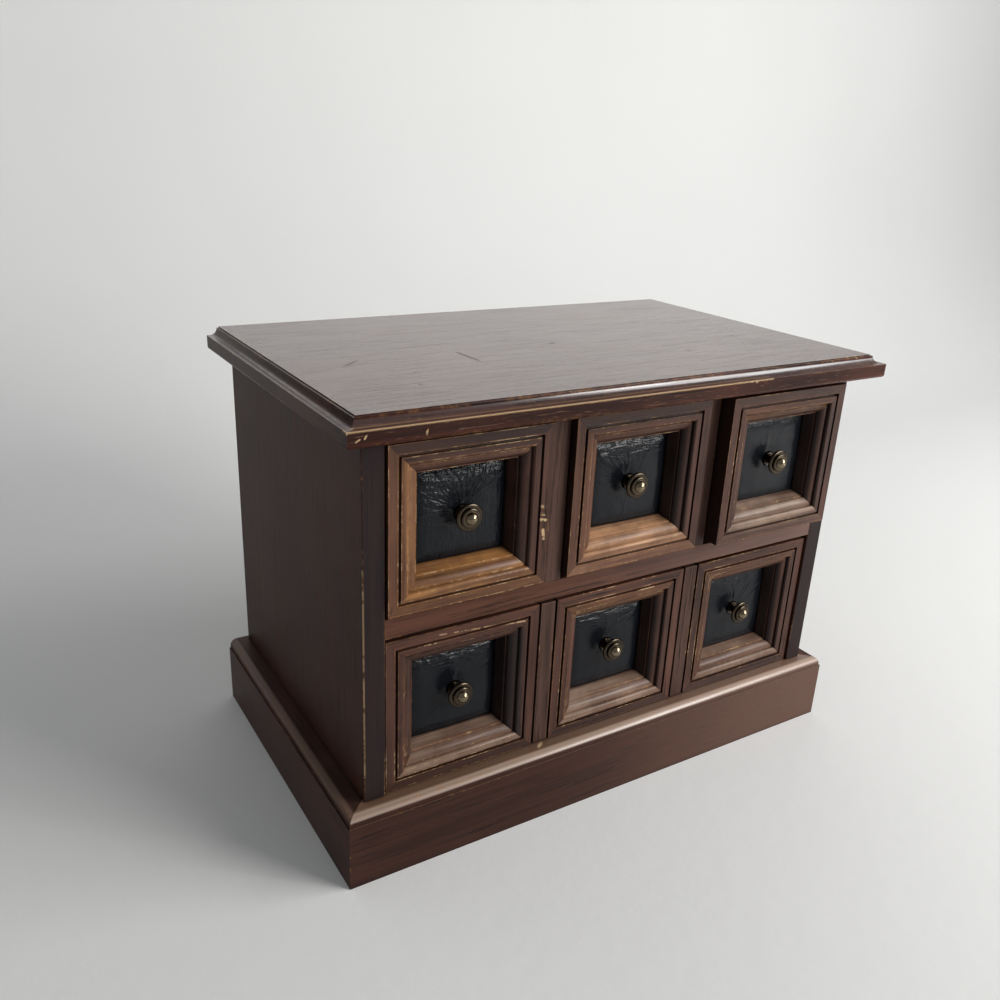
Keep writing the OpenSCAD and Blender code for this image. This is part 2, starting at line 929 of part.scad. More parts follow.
module left_drawer_walls() {
  upper_walls(0);
}

module left_drawer_bottom() {
  upper_bottom(0);
}

module left_drawer_lining() {
  upper_lining(0);
}

module middle_drawer_frame() {
  upper_frame(1);
}

module middle_drawer_leather() {
  upper_leather(1);
}

module middle_drawer_knob() {
  upper_knob(1);
}

module middle_drawer_knob_screw() {
  upper_screw(1);
}

module middle_drawer_front_board() {
  upper_board(1);
}

module middle_drawer_walls() {
  upper_walls(1);
}

module middle_drawer_bottom() {
  upper_bottom(1);
}

module middle_drawer_lining() {
  upper_lining(1);
}

module right_drawer_frame() {
  upper_frame(2);
}

module right_drawer_leather() {
  upper_leather(2);
}

module right_drawer_knob() {
  upper_knob(2);
}

module right_drawer_knob_screw() {
  upper_screw(2);
}

module right_drawer_front_board() {
  upper_board(2);
}

module right_drawer_walls() {
  upper_walls(2);
}

module right_drawer_bottom() {
  upper_bottom(2);
}

module right_drawer_lining() {
  upper_lining(2);
}

// Middles of the three panels of the lower drawer
lower_xs = [-lower_pitch, 0, lower_pitch];

// Puts the lower drawer's pieces at its place
module at_lower() {
  translate([0, front_y + closed_set, floor_z + run_gap])
    children();
}

// Puts a piece on each of the lower drawer's three panels
module at_lower_panels() {
  at_lower()
    for (x = lower_xs)
      at_panel(x, lower_front_h)
        children();
}

module lower_drawer_frames() {
  color(worn_wood)
    at_lower_panels()
      panel_frame(lower_front_h);
}

module lower_drawer_strips() {
  color(wood)
    at_lower()
      for (hand = [-1, 1])
        translate([hand * lower_pitch / 2, 0, 0])
          plank(strip_w, 0, stick_d, 0, lower_front_h);
}

module lower_drawer_leathers() {
  color(leather)
    at_lower_panels()
      panel_leather(lower_front_h);
}

module lower_drawer_knobs() {
  color(antique_brass)
    at_lower_panels()
      panel_knob();
}

module lower_drawer_knob_screws() {
  color(steel)
    at_lower_panels()
      panel_screw();
}

module lower_drawer_front_board() {
  color(raw_wood)
    at_lower()
      front_board(lower_front_w, lower_front_h, lower_xs);
}

module lower_drawer_walls() {
  color(raw_wood)
    at_lower()
      box_walls(lower_box_w, lower_box_back, 0, lower_wall_h);
}

module lower_drawer_bottom() {
  color(raw_wood)
    at_lower()
      box_bottom(lower_box_w, lower_box_back, 0);
}

module lower_drawer_lining() {
  color(felt)
    at_lower()
      box_lining(lower_box_w, lower_box_back, 0, lower_wall_h, lower_xs, lower_front_h);
}

// Puts pieces of the movement at the middle of the bedplate
module at_movement() {
  translate([0, bed_y, 0])
    children();
}

// Puts pieces on each bedplate screw, at the top of the bedplate
module at_bed_screws() {
  at_movement()
    for (place = bed_screws)
      translate([place[0], place[1], bed_z])
        children();
}

// Puts pieces on each comb screw, at the top of the comb
module at_comb_screws() {
  at_movement()
    for (share = [0.12, 0.5, 0.88])
      translate([cylinder_x + share * cylinder_l, comb_y + comb_tooth_l + comb_base_w / 2, comb_rest_z + comb_t])
        children();
}

// A rod along X
module rod(x0, x1, y, z, r) {
  translate([x0, y, z])
    rotate([0, 90, 0])
      cylinder(r = r, h = x1 - x0);
}

// Section of a wheel with thin teeth, the first one along x
module wheel_profile(teeth, root_r, tip_r) {
  circle(root_r);
  for (i = [0 : teeth - 1])
    rotate(i * 360 / teeth)
      translate([root_r - tooth_root, -tooth_w / 2])
        square([tip_r - root_r + tooth_root, tooth_w]);
}

// A wheel on an axis along X, its first tooth pointing down and then turned by a phase
module wheel(x, y, z, t, teeth, root_r, tip_r, phase) {
  translate([x, y, z])
    rotate([0, 90, 0])
      linear_extrude(t)
        rotate(phase)
          wheel_profile(teeth, root_r, tip_r);
}

// An upright post of the bedplate that carries a shaft along X
module post(x, t, y, w, top) {
  block([x, y - w / 2, bed_z - over], [x + t, y + w / 2, top]);
}

module movement_bedplate() {
  comb_back = comb_y + comb_tooth_l + comb_base_w;
  color(brass)
    difference() {
      at_movement()
        difference() {
          union() {
            block([-bed_l / 2, -bed_w / 2, floor_z], [bed_l / 2, bed_w / 2, bed_z]);
            post(left_post_x, post_t, axis_y, post_w, axis_z + post_w / 2);
            post(right_post_x, post_t, axis_y, post_w, axis_z + post_w / 2);
            post(governor_left_x, governor_post_t, governor_y, governor_post_w, governor_z + governor_post_w / 2);
            post(governor_right_x, governor_post_t, governor_y, governor_post_w, governor_z + governor_post_w / 2);
            post(worm_x - fan_arm_w / 2, fan_arm_w, worm_y - fan_post_y, fan_post_t, fan_arm_z + fan_arm_t);
            block([worm_x - fan_arm_w / 2, worm_y - fan_post_y, fan_arm_z],
                  [worm_x + fan_arm_w / 2, worm_y + fan_arm_w / 2, fan_arm_z + fan_arm_t]);
            block([cylinder_x, comb_back - comb_base_w, bed_z - over], [cylinder_x + cylinder_l, comb_back, comb_rest_z]);
            translate([lever_x, lever_y, bed_z - over])
              cylinder(r = lever_hub_r, h = lever_z - end_gap - bed_z + over);
            translate([lever_x, lever_y, bed_z])
              cylinder(r = lever_pin_r, h = lever_z + lever_t + end_gap - bed_z);
          }
          rod(left_post_x - over, right_post_x + post_t + over, axis_y, axis_z, cylinder_shaft_r + shaft_gap);
          rod(governor_left_x - over, governor_right_x + governor_post_t + over, governor_y, governor_z,
              governor_shaft_r + shaft_gap);
          translate([worm_x, worm_y, floor_z + 1])
            cylinder(r = fan_shaft_r + shaft_gap, h = fan_z);
          translate([barrel_x, axis_y, floor_z - over])
            cylinder(r = arbor_r + shaft_gap, h = bed_t + 2 * over);
        }
      at_bed_screws()
        translate([0, 0, -bed_t - over])
          cylinder(r = bed_screw_r + hole_gap, h = bed_t + 2 * over);
      at_comb_screws()
        translate([0, 0, -bed_screw_l])
          cylinder(r = comb_screw_r + hole_gap, h = bed_screw_l + over);
    }
}

// A round-headed screw, its seat at z 0
module seated_screw(r, l, head_r, head_h) {
  translate([0, 0, -l])
    cylinder(r = r, h = l);
  cylinder(r = head_r, h = head_h);
}

module movement_screws() {
  color(steel)
    at_bed_screws()
      seated_screw(bed_screw_r, bed_screw_l - hole_gap, bed_screw_head_r, bed_screw_head_h);
}

module comb_screws() {
  color(steel)
    at_comb_screws()
      seated_screw(comb_screw_r, bed_screw_l - hole_gap, comb_screw_head_r, comb_screw_head_h);
}

module music_comb() {
  base_y = comb_y + comb_tooth_l;
  color(steel)
    difference() {
      at_movement()
        difference() {
          block([cylinder_x, comb_y, comb_rest_z], [cylinder_x + cylinder_l, base_y + comb_base_w, comb_rest_z + comb_t]);
          for (i = [0 : notes])
            translate([cylinder_x + comb_margin + i * note_pitch - comb_slot / 2, comb_y - over, comb_rest_z - over])
              cube([comb_slot, comb_tooth_l + over, comb_t + 2 * over]);
        }
      at_comb_screws()
        translate([0, 0, -comb_t - over])
          cylinder(r = comb_screw_r + hole_gap, h = comb_t + 2 * over);
    }
}

// Puts pieces on the axis of the barrel and the key
module at_barrel() {
  translate([barrel_x, bed_y + axis_y, 0])
    children();
}

module spring_barrel() {
  bottom = 1;
  color(brass)
    at_barrel()
      translate([0, 0, barrel_z])
        difference() {
          cylinder(r = barrel_r, h = barrel_h);
          translate([0, 0, bottom])
            cylinder(r = barrel_r - barrel_wall, h = barrel_h);
          translate([0, 0, -over])
            cylinder(r = arbor_r + shaft_gap, h = barrel_h);
        }
}

module crown_wheel() {
  tooth_l = barrel_r - crown_r;
  color(brass)
    at_barrel()
      translate([0, 0, crown_z])
        difference() {
          union() {
            cylinder(r = barrel_r, h = crown_t);
            for (i = [0 : crown_teeth - 1])
              rotate((i + 0.5) * 360 / crown_teeth)
                translate([crown_r - tooth_l, -tooth_w / 2, 0])
                  cube([2 * tooth_l - 0.1, tooth_w, crown_t + crown_tooth_h]);
          }
          translate([0, 0, -over])
            cylinder(r = arbor_r + shaft_gap, h = crown_t + 2 * over);
        }
}

module mainspring() {
  steps = 24 * spring_turns;
  inner = arbor_r + 3 * shaft_gap;
  outer = barrel_r - barrel_wall - spring_t - shaft_gap;
  function spiral(i, out) =
    let (r = inner + (outer - inner) * i / steps + out, a = 15 * i)
    [r * cos(a), r * sin(a)];
  color(steel)
    at_barrel()
      translate([0, 0, barrel_z + 1])
        linear_extrude(barrel_h - 1 - end_gap)
          polygon(concat(
            [for (i = [0 : steps]) spiral(i, 0)],
            [for (i = [steps : -1 : 0]) spiral(i, spring_t)]
          ));
}

module winding_key() {
  wing_z = key_clear + key_wing_r;
  color(steel)
    at_barrel() {
      difference() {
        union() {
          translate([0, key_t / 2, wing_z])
            rotate([90, 0, 0])
              linear_extrude(key_t) {
                for (hand = [-1, 1])
                  translate([hand * key_wing_r, 0])
                    circle(key_wing_r);
                square([2 * key_wing_r, key_wing_r], center = true);
              }
          translate([0, 0, wing_z - key_wing_r / 2])
            cylinder(r = key_stem_r, h = key_top_z - wing_z + key_wing_r / 2);
        }
        for (hand = [-1, 1])
          translate([hand * key_wing_r, key_t, wing_z])
            rotate([90, 0, 0])
              cylinder(r = key_wing_r / 2.5, h = 2 * key_t);
      }
      translate([0, 0, key_top_z])
        cylinder(r = arbor_r, h = crown_z + crown_t - key_top_z);
    }
}

// Pins of the cylinder, spread over its notes and round it
module cylinder_pins() {
  for (i = [0 : notes - 1], j = [0 : pins_per_note - 1])
    translate([cylinder_x + comb_margin + (i + 0.5) * note_pitch, axis_y, axis_z])
      rotate([137 * i + 360 / pins_per_note * j + 20 * (i % 3) * j, 0, 0])
        translate([0, 0, cylinder_r - pin_root])
          cylinder(r = pin_r, h = pin_root + pin_h);
}

module music_cylinder() {
  color(brass)
    at_movement() {
      rod(cylinder_x, cylinder_x + cylinder_l, axis_y, axis_z, cylinder_r);
      rod(barrel_x + crown_r - pinion_face / 2, right_post_x + post_t + 0.5, axis_y, axis_z, cylinder_shaft_r);
      wheel(barrel_x + crown_r - pinion_face / 2, axis_y, axis_z, pinion_face,
            pinion_teeth, pinion_root_r, pinion_tip_r, 0);
      wheel(gear_x - gear_gap, axis_y, axis_z, gear_t + gear_gap,
            drive_teeth, drive_r - gear_dedendum, drive_r + gear_addendum, governor_angle - 90);
      cylinder_pins();
    }
}

module governor_gear() {
  color(brass)
    at_movement() {
      rod(governor_left_x - 0.3, governor_right_x + governor_post_t + 0.3, governor_y, governor_z, governor_shaft_r);
      wheel(gear_x, governor_y, governor_z, gear_t,
            governor_teeth, governor_r - gear_dedendum, governor_r + gear_addendum,
            governor_angle + 90 + 180 / governor_teeth);
      wheel(worm_wheel_x, governor_y, governor_z, worm_wheel_t,
            worm_wheel_teeth, worm_wheel_r - gear_dedendum, worm_tip_r, -90);
    }
}

module governor_fan() {
  turns = worm_l / worm_pitch;
  color(brass)
    at_movement()
      translate([worm_x, worm_y, 0]) {
        translate([0, 0, floor_z + 1 + end_gap])
          cylinder(r = fan_shaft_r, h = fan_z + fan_h - floor_z - 1 - end_gap);
        translate([0, 0, governor_z - worm_l / 2])
          rotate(270 - 180 * turns)
            linear_extrude(worm_l, twist = -360 * turns, slices = 10 * turns, segments = 10)
              translate([worm_eccentric, 0])
                circle(worm_r, $fn = 10);
        translate([0, 0, fan_z])
          cylinder(r = 2 * fan_shaft_r, h = fan_h);
        block([-fan_r, -fan_blade_t / 2, fan_z], [fan_r, fan_blade_t / 2, fan_z + fan_h]);
      }
}

// Lever that blocks the fan while the lower drawer is shut
module stop_lever() {
  arm_x = worm_x - fan_r - end_gap - lever_x;
  tail_y = -bed_w / 2 - lever_reach - lever_y;
  color(steel)
    at_movement()
      translate([lever_x, lever_y, lever_z])
        difference() {
          union() {
            cylinder(r = lever_hub_r, h = lever_t);
            block([0, -lever_w / 2, 0], [arm_x, lever_w / 2, lever_t]);
            block([lever_tail_x - lever_x - lever_w / 2, -lever_w / 2, 0], [0, lever_w / 2, lever_t]);
            block([lever_tail_x - lever_x - lever_w / 2, tail_y, 0],
                  [lever_tail_x - lever_x + lever_w / 2, 0, lever_t]);
          }
          translate([0, 0, -over])
            cylinder(r = lever_pin_r + shaft_gap, h = lever_t + 2 * over);
        }
}

top_board();
left_side();
right_side();
back_panel();
floor_board();
shelf();
left_divider();
right_divider();
plinth_front();
plinth_left();
plinth_right();
plinth_back();
glue_blocks();
back_brads();
left_drawer_frame();
left_drawer_leather();
left_drawer_knob();
left_drawer_knob_screw();
left_drawer_front_board();
left_drawer_walls();
left_drawer_bottom();
left_drawer_lining();
middle_drawer_frame();
middle_drawer_leather();
middle_drawer_knob();
middle_drawer_knob_screw();
middle_drawer_front_board();
middle_drawer_walls();
middle_drawer_bottom();
middle_drawer_lining();
right_drawer_frame();
right_drawer_leather();
right_drawer_knob();
right_drawer_knob_screw();
right_drawer_front_board();
right_drawer_walls();
right_drawer_bottom();
right_drawer_lining();
lower_drawer_frames();
lower_drawer_strips();
lower_drawer_leathers();
lower_drawer_knobs();
lower_drawer_knob_screws();
lower_drawer_front_board();
lower_drawer_walls();
lower_drawer_bottom();
lower_drawer_lining();
movement_bedplate();
movement_screws();
spring_barrel();
crown_wheel();
mainspring();
winding_key();
music_cylinder();
music_comb();
comb_screws();
governor_gear();
governor_fan();
stop_lever();
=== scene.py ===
import math
import random

import bmesh
import bpy
from mathutils import Matrix, Vector, noise


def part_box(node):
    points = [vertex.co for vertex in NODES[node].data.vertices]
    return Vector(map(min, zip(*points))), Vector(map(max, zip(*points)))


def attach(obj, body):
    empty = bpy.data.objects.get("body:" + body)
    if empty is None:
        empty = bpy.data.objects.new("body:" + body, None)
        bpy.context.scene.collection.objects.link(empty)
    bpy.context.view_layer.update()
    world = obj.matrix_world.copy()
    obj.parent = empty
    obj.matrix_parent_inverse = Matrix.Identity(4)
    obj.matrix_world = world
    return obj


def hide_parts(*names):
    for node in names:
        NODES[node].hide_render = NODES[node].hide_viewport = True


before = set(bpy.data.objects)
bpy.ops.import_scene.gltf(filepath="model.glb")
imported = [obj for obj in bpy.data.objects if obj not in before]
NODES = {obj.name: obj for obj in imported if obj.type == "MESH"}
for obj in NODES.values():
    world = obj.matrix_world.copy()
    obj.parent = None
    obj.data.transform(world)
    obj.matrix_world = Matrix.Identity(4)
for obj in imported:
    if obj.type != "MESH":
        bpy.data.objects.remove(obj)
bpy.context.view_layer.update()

ROWS = ("left", "middle", "right")

# Tints of the wood's wear and dirt, and of painted light and shade
RAW = (0.60, 0.41, 0.22, 1)
GOLD = (0.36, 0.168, 0.055, 1)
PALE = (0.47, 0.255, 0.135, 1)
# Dust, with painted light on bottom sticks lit from above
DUST_AND_LIGHT = (0.27, 0.185, 0.135, 1)
# Haze with a painted highlight, for the plinth noses
HAZE_AND_HIGHLIGHT = (0.42, 0.295, 0.220, 1)
# Painted sheen of the backdrop's reflection on the top
TOP_SHEEN = (0.46, 0.215, 0.165, 1)
FLECK = (0.20, 0.105, 0.068, 1)
SHADE = (0.020, 0.0115, 0.010, 1)
SOOT = (0.014, 0.011, 0.0125, 1)
# Painted shade on faces turned away from the lamps
DEEP_SHADE = (0.009, 0.005, 0.0045, 1)
# Painted shade in corners and grooves
CORNER_SHADE = (0.008, 0.004, 0.003, 1)
SCAR = (0.010, 0.005, 0.004, 1)

# Where marks lie, in metres: the top's face and nose, and the fronts of the frames
TOP_Z, NOSE_Y = 0.1946, -0.0808
UPPER_Y, LOWER_Y = -0.0702, -0.0680

# Sizes of soft pieces, in metres, and the cells along each side of a pad
PAD_CELLS = 150
PAD_CROWN, PAD_RIM, PAD_WAVE = 0.0008, 0.0055, 0.00010
DIMPLE_DEPTH, DIMPLE_RADIUS = 0.0009, 0.0052
FOOT_DEPTH, FOOT_RADIUS = 0.00115, 0.0033
FELT_THICK, FELT_FOLD, SCREW_GAP = 0.0008, 0.0022, 0.0003

# Samples of the shader nodes that look for edges and corners
EDGE_SAMPLES = 4


class Graph:
    """A material's node tree, built from short calls. Inputs are sockets or plain values."""

    def __init__(self, name):
        self.mat = bpy.data.materials.new(name)
        self.mat.use_nodes = True
        self.tree = self.mat.node_tree
        self.tree.nodes.clear()

    def add(self, kind, inputs=(), **props):
        node = self.tree.nodes.new(kind)
        for key, value in props.items():
            setattr(node, key, value)
        for key, value in dict(inputs).items():
            if isinstance(value, bpy.types.NodeSocket):
                self.tree.links.new(value, node.inputs[key])
            else:
                node.inputs[key].default_value = value
        return node

    def math(self, op, a, b=0.0, clamp=False):
        return self.add("ShaderNodeMath", {0: a, 1: b}, operation=op, use_clamp=clamp).outputs[0]

    def plus(self, a, b):
        return self.math("ADD", a, b)

    def minus(self, a, b):
        return self.math("SUBTRACT", a, b)

    def top(self, a, b):
        return self.math("MAXIMUM", a, b)

    def mul(self, *values):
        out = values[0]
        for value in values[1:]:
            out = self.math("MULTIPLY", out, value)
        return out

    def flip(self, value):
        return self.minus(1.0, value)

    def within(self, value, centre, reach):
        """1 where a value is no further than reach from centre."""
        return self.add("ShaderNodeMath", {0: value, 1: centre, 2: reach}, operation="COMPARE").outputs[0]

    def step(self, value, low, high):
        """0 at low, 1 at high, smooth between; low may be the larger."""
        return self.add("ShaderNodeMapRange", {0: value, 1: low, 2: high, 3: 0.0, 4: 1.0},
                        interpolation_type="SMOOTHSTEP").outputs[0]

    def fit(self, value, low, high):
        """low at 0, high at 1; low may be the larger."""
        return self.add("ShaderNodeMapRange", {0: value, 1: 0.0, 2: 1.0, 3: low, 4: high}).outputs[0]

    def mix(self, fac, a, b):
        """Colour a at 0, b at 1."""
        return self.add("ShaderNodeMix", {0: fac, 6: a, 7: b}, data_type="RGBA").outputs[2]

    def choose(self, fac, a, b):
        """Vector a at 0, b at 1."""
        return self.add("ShaderNodeMix", {0: fac, 4: a, 5: b}, data_type="VECTOR").outputs[1]

    def place(self):
        """Position in the row frame at rest, in metres."""
        return self.add("ShaderNodeTexCoord").outputs["Object"]

    def span(self):
        """Position in the piece's own box, from 0 to 1 on each axis."""
        return self.add("ShaderNodeTexCoord").outputs["Generated"]

    def split(self, vector):
        return self.add("ShaderNodeSeparateXYZ", {0: vector}).outputs

    def join(self, x, y, z):
        return self.add("ShaderNodeCombineXYZ", {0: x, 1: y, 2: z}).outputs[0]

    def stretch(self, vector, scale):
        return self.add("ShaderNodeVectorMath", {0: vector, 1: scale}, operation="MULTIPLY").outputs[0]

    def dot(self, a, b):
        return self.add("ShaderNodeVectorMath", {0: a, 1: b}, operation="DOT_PRODUCT").outputs["Value"]

    def noise(self, vector, scale, detail=4.0, rough=0.55, warp=0.0):
        return self.add("ShaderNodeTexNoise", {"Vector": vector, "Scale": scale, "Detail": detail,
                                               "Roughness": rough, "Distortion": warp}).outputs[0]

    def normal(self):
        """The surface's own normal, without smoothing or bumps."""
        return self.add("ShaderNodeNewGeometry").outputs["True Normal"]

    def facing(self, x, y, z):
        """How squarely the surface faces a direction, from 0 to 1."""
        return self.top(self.dot(self.normal(), (x, y, z)), 0.0)

    def edges(self, radius, low, high, open_side):
        """1 on convex edges, 0 on flats and in corners."""
        round_normal = self.add("ShaderNodeBevel", {"Radius": radius}, samples=EDGE_SAMPLES).outputs[0]
        turned = self.step(self.flip(self.dot(round_normal, self.normal())), low, high)
        return self.mul(turned, self.step(open_side, 0.55, 0.8))

    def shade(self, distance):
        """1 in the open, lower in corners and grooves."""
        return self.add("ShaderNodeAmbientOcclusion", {"Distance": distance},
                        samples=EDGE_SAMPLES).outputs["AO"]

    def inside(self, place, low, high):
        """1 in a box between two corners, in metres."""
        parts = self.split(place)
        return self.mul(*[self.within(parts[k], (low[k] + high[k]) / 2, (high[k] - low[k]) / 2)
                          for k in range(3)])

    def near(self, place, start, end, width):
        """1 on a line between two points, falling to 0 at half its width to either side, in metres."""
        along = Vector(end) - Vector(start)
        off = self.add("ShaderNodeVectorMath", {0: place, 1: start}, operation="SUBTRACT").outputs[0]
        share = self.math("MULTIPLY", self.dot(off, along), 1 / along.length_squared, clamp=True)
        nearest = self.add("ShaderNodeVectorMath", {0: along, "Scale": share}, operation="SCALE").outputs[0]
        gap = self.add("ShaderNodeVectorMath", {0: off, 1: nearest}, operation="DISTANCE").outputs["Value"]
        return self.step(gap, width / 2, width / 5)

    def bump(self, height, distance, strength, normal=None):
        inputs = {"Height": height, "Distance": distance, "Strength": strength}
        if normal is not None:
            inputs["Normal"] = normal
        return self.add("ShaderNodeBump", inputs).outputs[0]

    def finish(self, **inputs):
        keys = {"color": "Base Color", "rough": "Roughness", "metal": "Metallic", "normal": "Normal",
                "coat": "Coat Weight", "coat_rough": "Coat Roughness", "coat_ior": "Coat IOR",
                "specular": "Specular IOR Level", "sheen": "Sheen Weight", "sheen_rough": "Sheen Roughness"}
        shader = self.add("ShaderNodeBsdfPrincipled", {keys[k]: v for k, v in inputs.items()})
        self.add("ShaderNodeOutputMaterial", {0: shader.outputs[0]})
        return self.mat


def dim(color, share):
    return [c * share for c in color[:3]] + [1]


def grain_scale(axis, along=7.0, across=210.0):
    """Noise scales per metre that draw a grain along one axis."""
    return [along if a == axis else across for a in "XYZ"]


def stick_masks(g, place, panels):
    """Masks of the sticks of mitred frames, left, right, top and bottom, and of their inner mouldings.

    panels is what frame_panels gives. The inner moulding starts about 5.5 mm in from the frame's edge."""
    x, _, z = g.split(place)
    centre_x, centre_z, pitch, lean, half = panels
    # Ten more pitches keep the modulo's input above zero, and the half puts 0 at each frame's centre
    u = g.minus(g.math("MODULO", g.plus(x, 10.5 * pitch - centre_x), pitch), pitch / 2)
    v = g.minus(z, centre_z)
    wide, tall = g.minus(g.math("ABSOLUTE", u), lean), g.math("ABSOLUTE", v)
    upright = g.math("GREATER_THAN", wide, tall)
    lying = g.flip(upright)
    right_stick = g.mul(upright, g.math("GREATER_THAN", u, 0.0))
    top_stick = g.mul(lying, g.math("GREATER_THAN", v, 0.0))
    return {"left": g.minus(upright, right_stick), "right": right_stick,
            "top": top_stick, "bottom": g.minus(lying, top_stick), "upright": upright,
            "inner": g.step(g.top(wide, tall), half - 0.0048, half - 0.0062)}


def wood(name, axis, tones, wear, rough, specular=0.12, coat=0.0, coat_rough=0.24, rub_width=0.0007,
         light_ramp=None, dust_and_sheen=(), panels=None, rubs=(), flat_share=0.3, dark_flats=(), boosts=(), strokes=(),
         scars=(), flecks=0.0, dark_front=0.0, glaze=0.0, groove_shade=0.6):
    """Stained wood with streaks and pores along the grain, rubbed edges and painted shade in corners.

    axis is the grain's. Frames with mitred sticks give panels instead, and only they take these:
      rubs: (centre x, {stick: (tint, amount)}), each stick's uneven finish with painted light and shade by the
          way it faces; flat_share of it reaches the flat
      dark_flats: (stick, amount) of painted shade on the outer flats, such as the top's overhang shadow
      glaze: how dark the painted shade is on faces turned left or down, away from the lamps
    Any wood takes these:
      light_ramp: (from x, to x, tint, amount) of painted light, lighter towards the second x
      dust_and_sheen: (direction, tint, amount) of dust, or of painted sheen and highlight, on faces turned that
          way
      boosts: (low corner, high corner, amount) of more edge wear
      strokes: (start, end, width, amount) of bare scratches and chips
      scars: the same of dark marks in the polish
      flecks: light ticks along the grain
      dark_front: how dark faces turned to the front are
      groove_shade: how dark the painted shade in grooves is
      coat: polish on faces turned up or sloping to the front"""
    g = Graph(name)
    place = g.place()
    dark, mid, light = tones
    if panels:
        sticks = stick_masks(g, place, panels)
        grain = g.choose(sticks["upright"], g.stretch(place, grain_scale("X")),
                         g.stretch(place, grain_scale("Z")))
    else:
        grain = g.stretch(place, grain_scale(axis))

    # Grain and stain
    streaks = g.noise(grain, 1.0, 6.0, 0.62, 0.35)
    fine = g.noise(g.stretch(grain, (3.6, 3.6, 3.6)), 1.0, 4.0, 0.7)
    clouds = g.noise(place, 16.0, 3.0)
    color = g.mix(g.step(streaks, 0.34, 0.66), dark, mid)
    color = g.mix(g.mul(g.step(clouds, 0.42, 0.72), 0.55), color, light)
    pores = g.step(fine, 0.53, 0.66)
    color = g.mix(g.mul(pores, 0.8), color, dim(dark, 0.3))
    if flecks:
        ticks = g.noise(g.stretch(place, grain_scale(axis, 170.0, 1500.0)), 1.0, 2.0, 0.5)
        color = g.mix(g.mul(g.step(ticks, 0.62, 0.70), flecks), color, FLECK)
    # Painted light, lighter towards the right where the lamps are
    if light_ramp:
        start, end, tint, share = light_ramp
        color = g.mix(g.mul(g.step(g.split(place)[0], start, end), share), color, tint)
    # Dust on faces turned one way, or painted sheen and highlight there
    for direction, tint, share in dust_and_sheen:
        color = g.mix(g.mul(g.step(g.facing(*direction), 0.75, 0.95), share), color, tint)
    if dark_front:
        color = g.mix(g.mul(g.step(g.facing(0, -1, 0), 0.7, 0.95), dark_front), color, SOOT)

    # Finish of each stick, with painted light and shade by the way it faces
    if rubs:
        patchy = g.fit(g.step(g.noise(place, 70.0, 4.0, 0.6), 0.35, 0.65), 0.5, 1.0)
        coarse = g.noise(g.stretch(grain, (1.5, 1.5, 1.5)), 1.0, 4.0, 0.6)
        patchy = g.mul(patchy, g.fit(g.step(coarse, 0.36, 0.60), 0.3, 1.0))
    for centre_x, tints in rubs:
        here = g.within(g.split(place)[0], centre_x, panels[2] / 2)
        spread = g.mul(here, patchy, g.fit(sticks["inner"], flat_share, 1.0))
        # Each stick's wear and dust, with painted light and shade
        for stick, (tint, share) in tints.items():
            color = g.mix(g.mul(spread, sticks[stick], share), color, tint)
    # Painted shade on the outer flats, such as the shadow under the top's overhang
    for stick, share in dark_flats:
        color = g.mix(g.mul(g.flip(sticks["inner"]), sticks[stick], share), color, SHADE)
    # Painted shade on faces turned left or down, away from the lamps
    if glaze:
        turned = g.top(g.step(g.facing(-1, 0, 0), 0.3, 0.8),
                       g.mul(g.step(g.facing(0, 0, -1), 0.3, 0.8), 0.6))
        color = g.mix(g.mul(turned, glaze), color, DEEP_SHADE)

    # Rubbed edges and chips, and painted shade in corners
    open_side = g.shade(0.003)
    rim = g.edges(rub_width, 0.008, 0.06, open_side)
    chips = g.noise(place, 420.0, 5.0, 0.62)
    runs = g.noise(place, 42.0, 3.0, 0.6)
    amount = g.plus(g.mul(runs, 0.55), g.mul(chips, 0.6))
    # Less rubbed edge on faces in the painted shade and on the right sticks
    if glaze:
        amount = g.minus(amount, g.mul(g.top(turned, sticks["right"]), 0.22))
    for low, high, extra in boosts:
        amount = g.plus(amount, g.mul(g.inside(place, low, high), extra))
    rubbed = g.mul(rim, g.step(amount, 0.66 - 0.24 * wear, 0.78 - 0.20 * wear), 0.6)
    color = g.mix(rubbed, color, GOLD)
    bare = g.mul(rim, g.step(amount, 0.77 - 0.20 * wear, 0.82 - 0.20 * wear))
    for start, end, width, depth in strokes:
        bare = g.top(bare, g.mul(g.near(place, start, end, width), g.step(chips, 0.42, 0.54), depth))
    color = g.mix(g.mul(bare, 0.9), color, RAW)
    # Painted shade in corners and grooves
    color = g.mix(g.fit(g.step(open_side, 0.3, 0.9), groove_shade, 0.0), color, CORNER_SHADE)

    # Gloss, polish and relief
    gloss = g.plus(g.fit(streaks, rough - 0.06, rough + 0.10), g.mul(bare, 0.25))
    height = g.minus(g.mul(streaks, 0.5), g.mul(pores, 0.6))
    height = g.minus(height, g.mul(bare, 1.2))
    polish = 0.0
    if coat:
        upward = g.top(g.step(g.facing(0, 0, 1), 0.8, 0.95),
                       g.step(g.facing(0, -0.7, 0.714), 0.80, 0.92))
        polish = g.mul(upward, g.fit(g.step(fine, 0.42, 0.66), coat, coat * 0.72))
    for start, end, width, depth in scars:
        scar = g.mul(g.near(place, start, end, width), depth)
        color = g.mix(g.mul(scar, 0.45), color, SCAR)
        polish = g.mul(polish, g.flip(scar))
    return g.finish(color=color, rough=gloss, normal=g.bump(height, 0.00012, 0.6), specular=specular,
                    coat=polish, coat_rough=coat_rough, coat_ior=1.8)


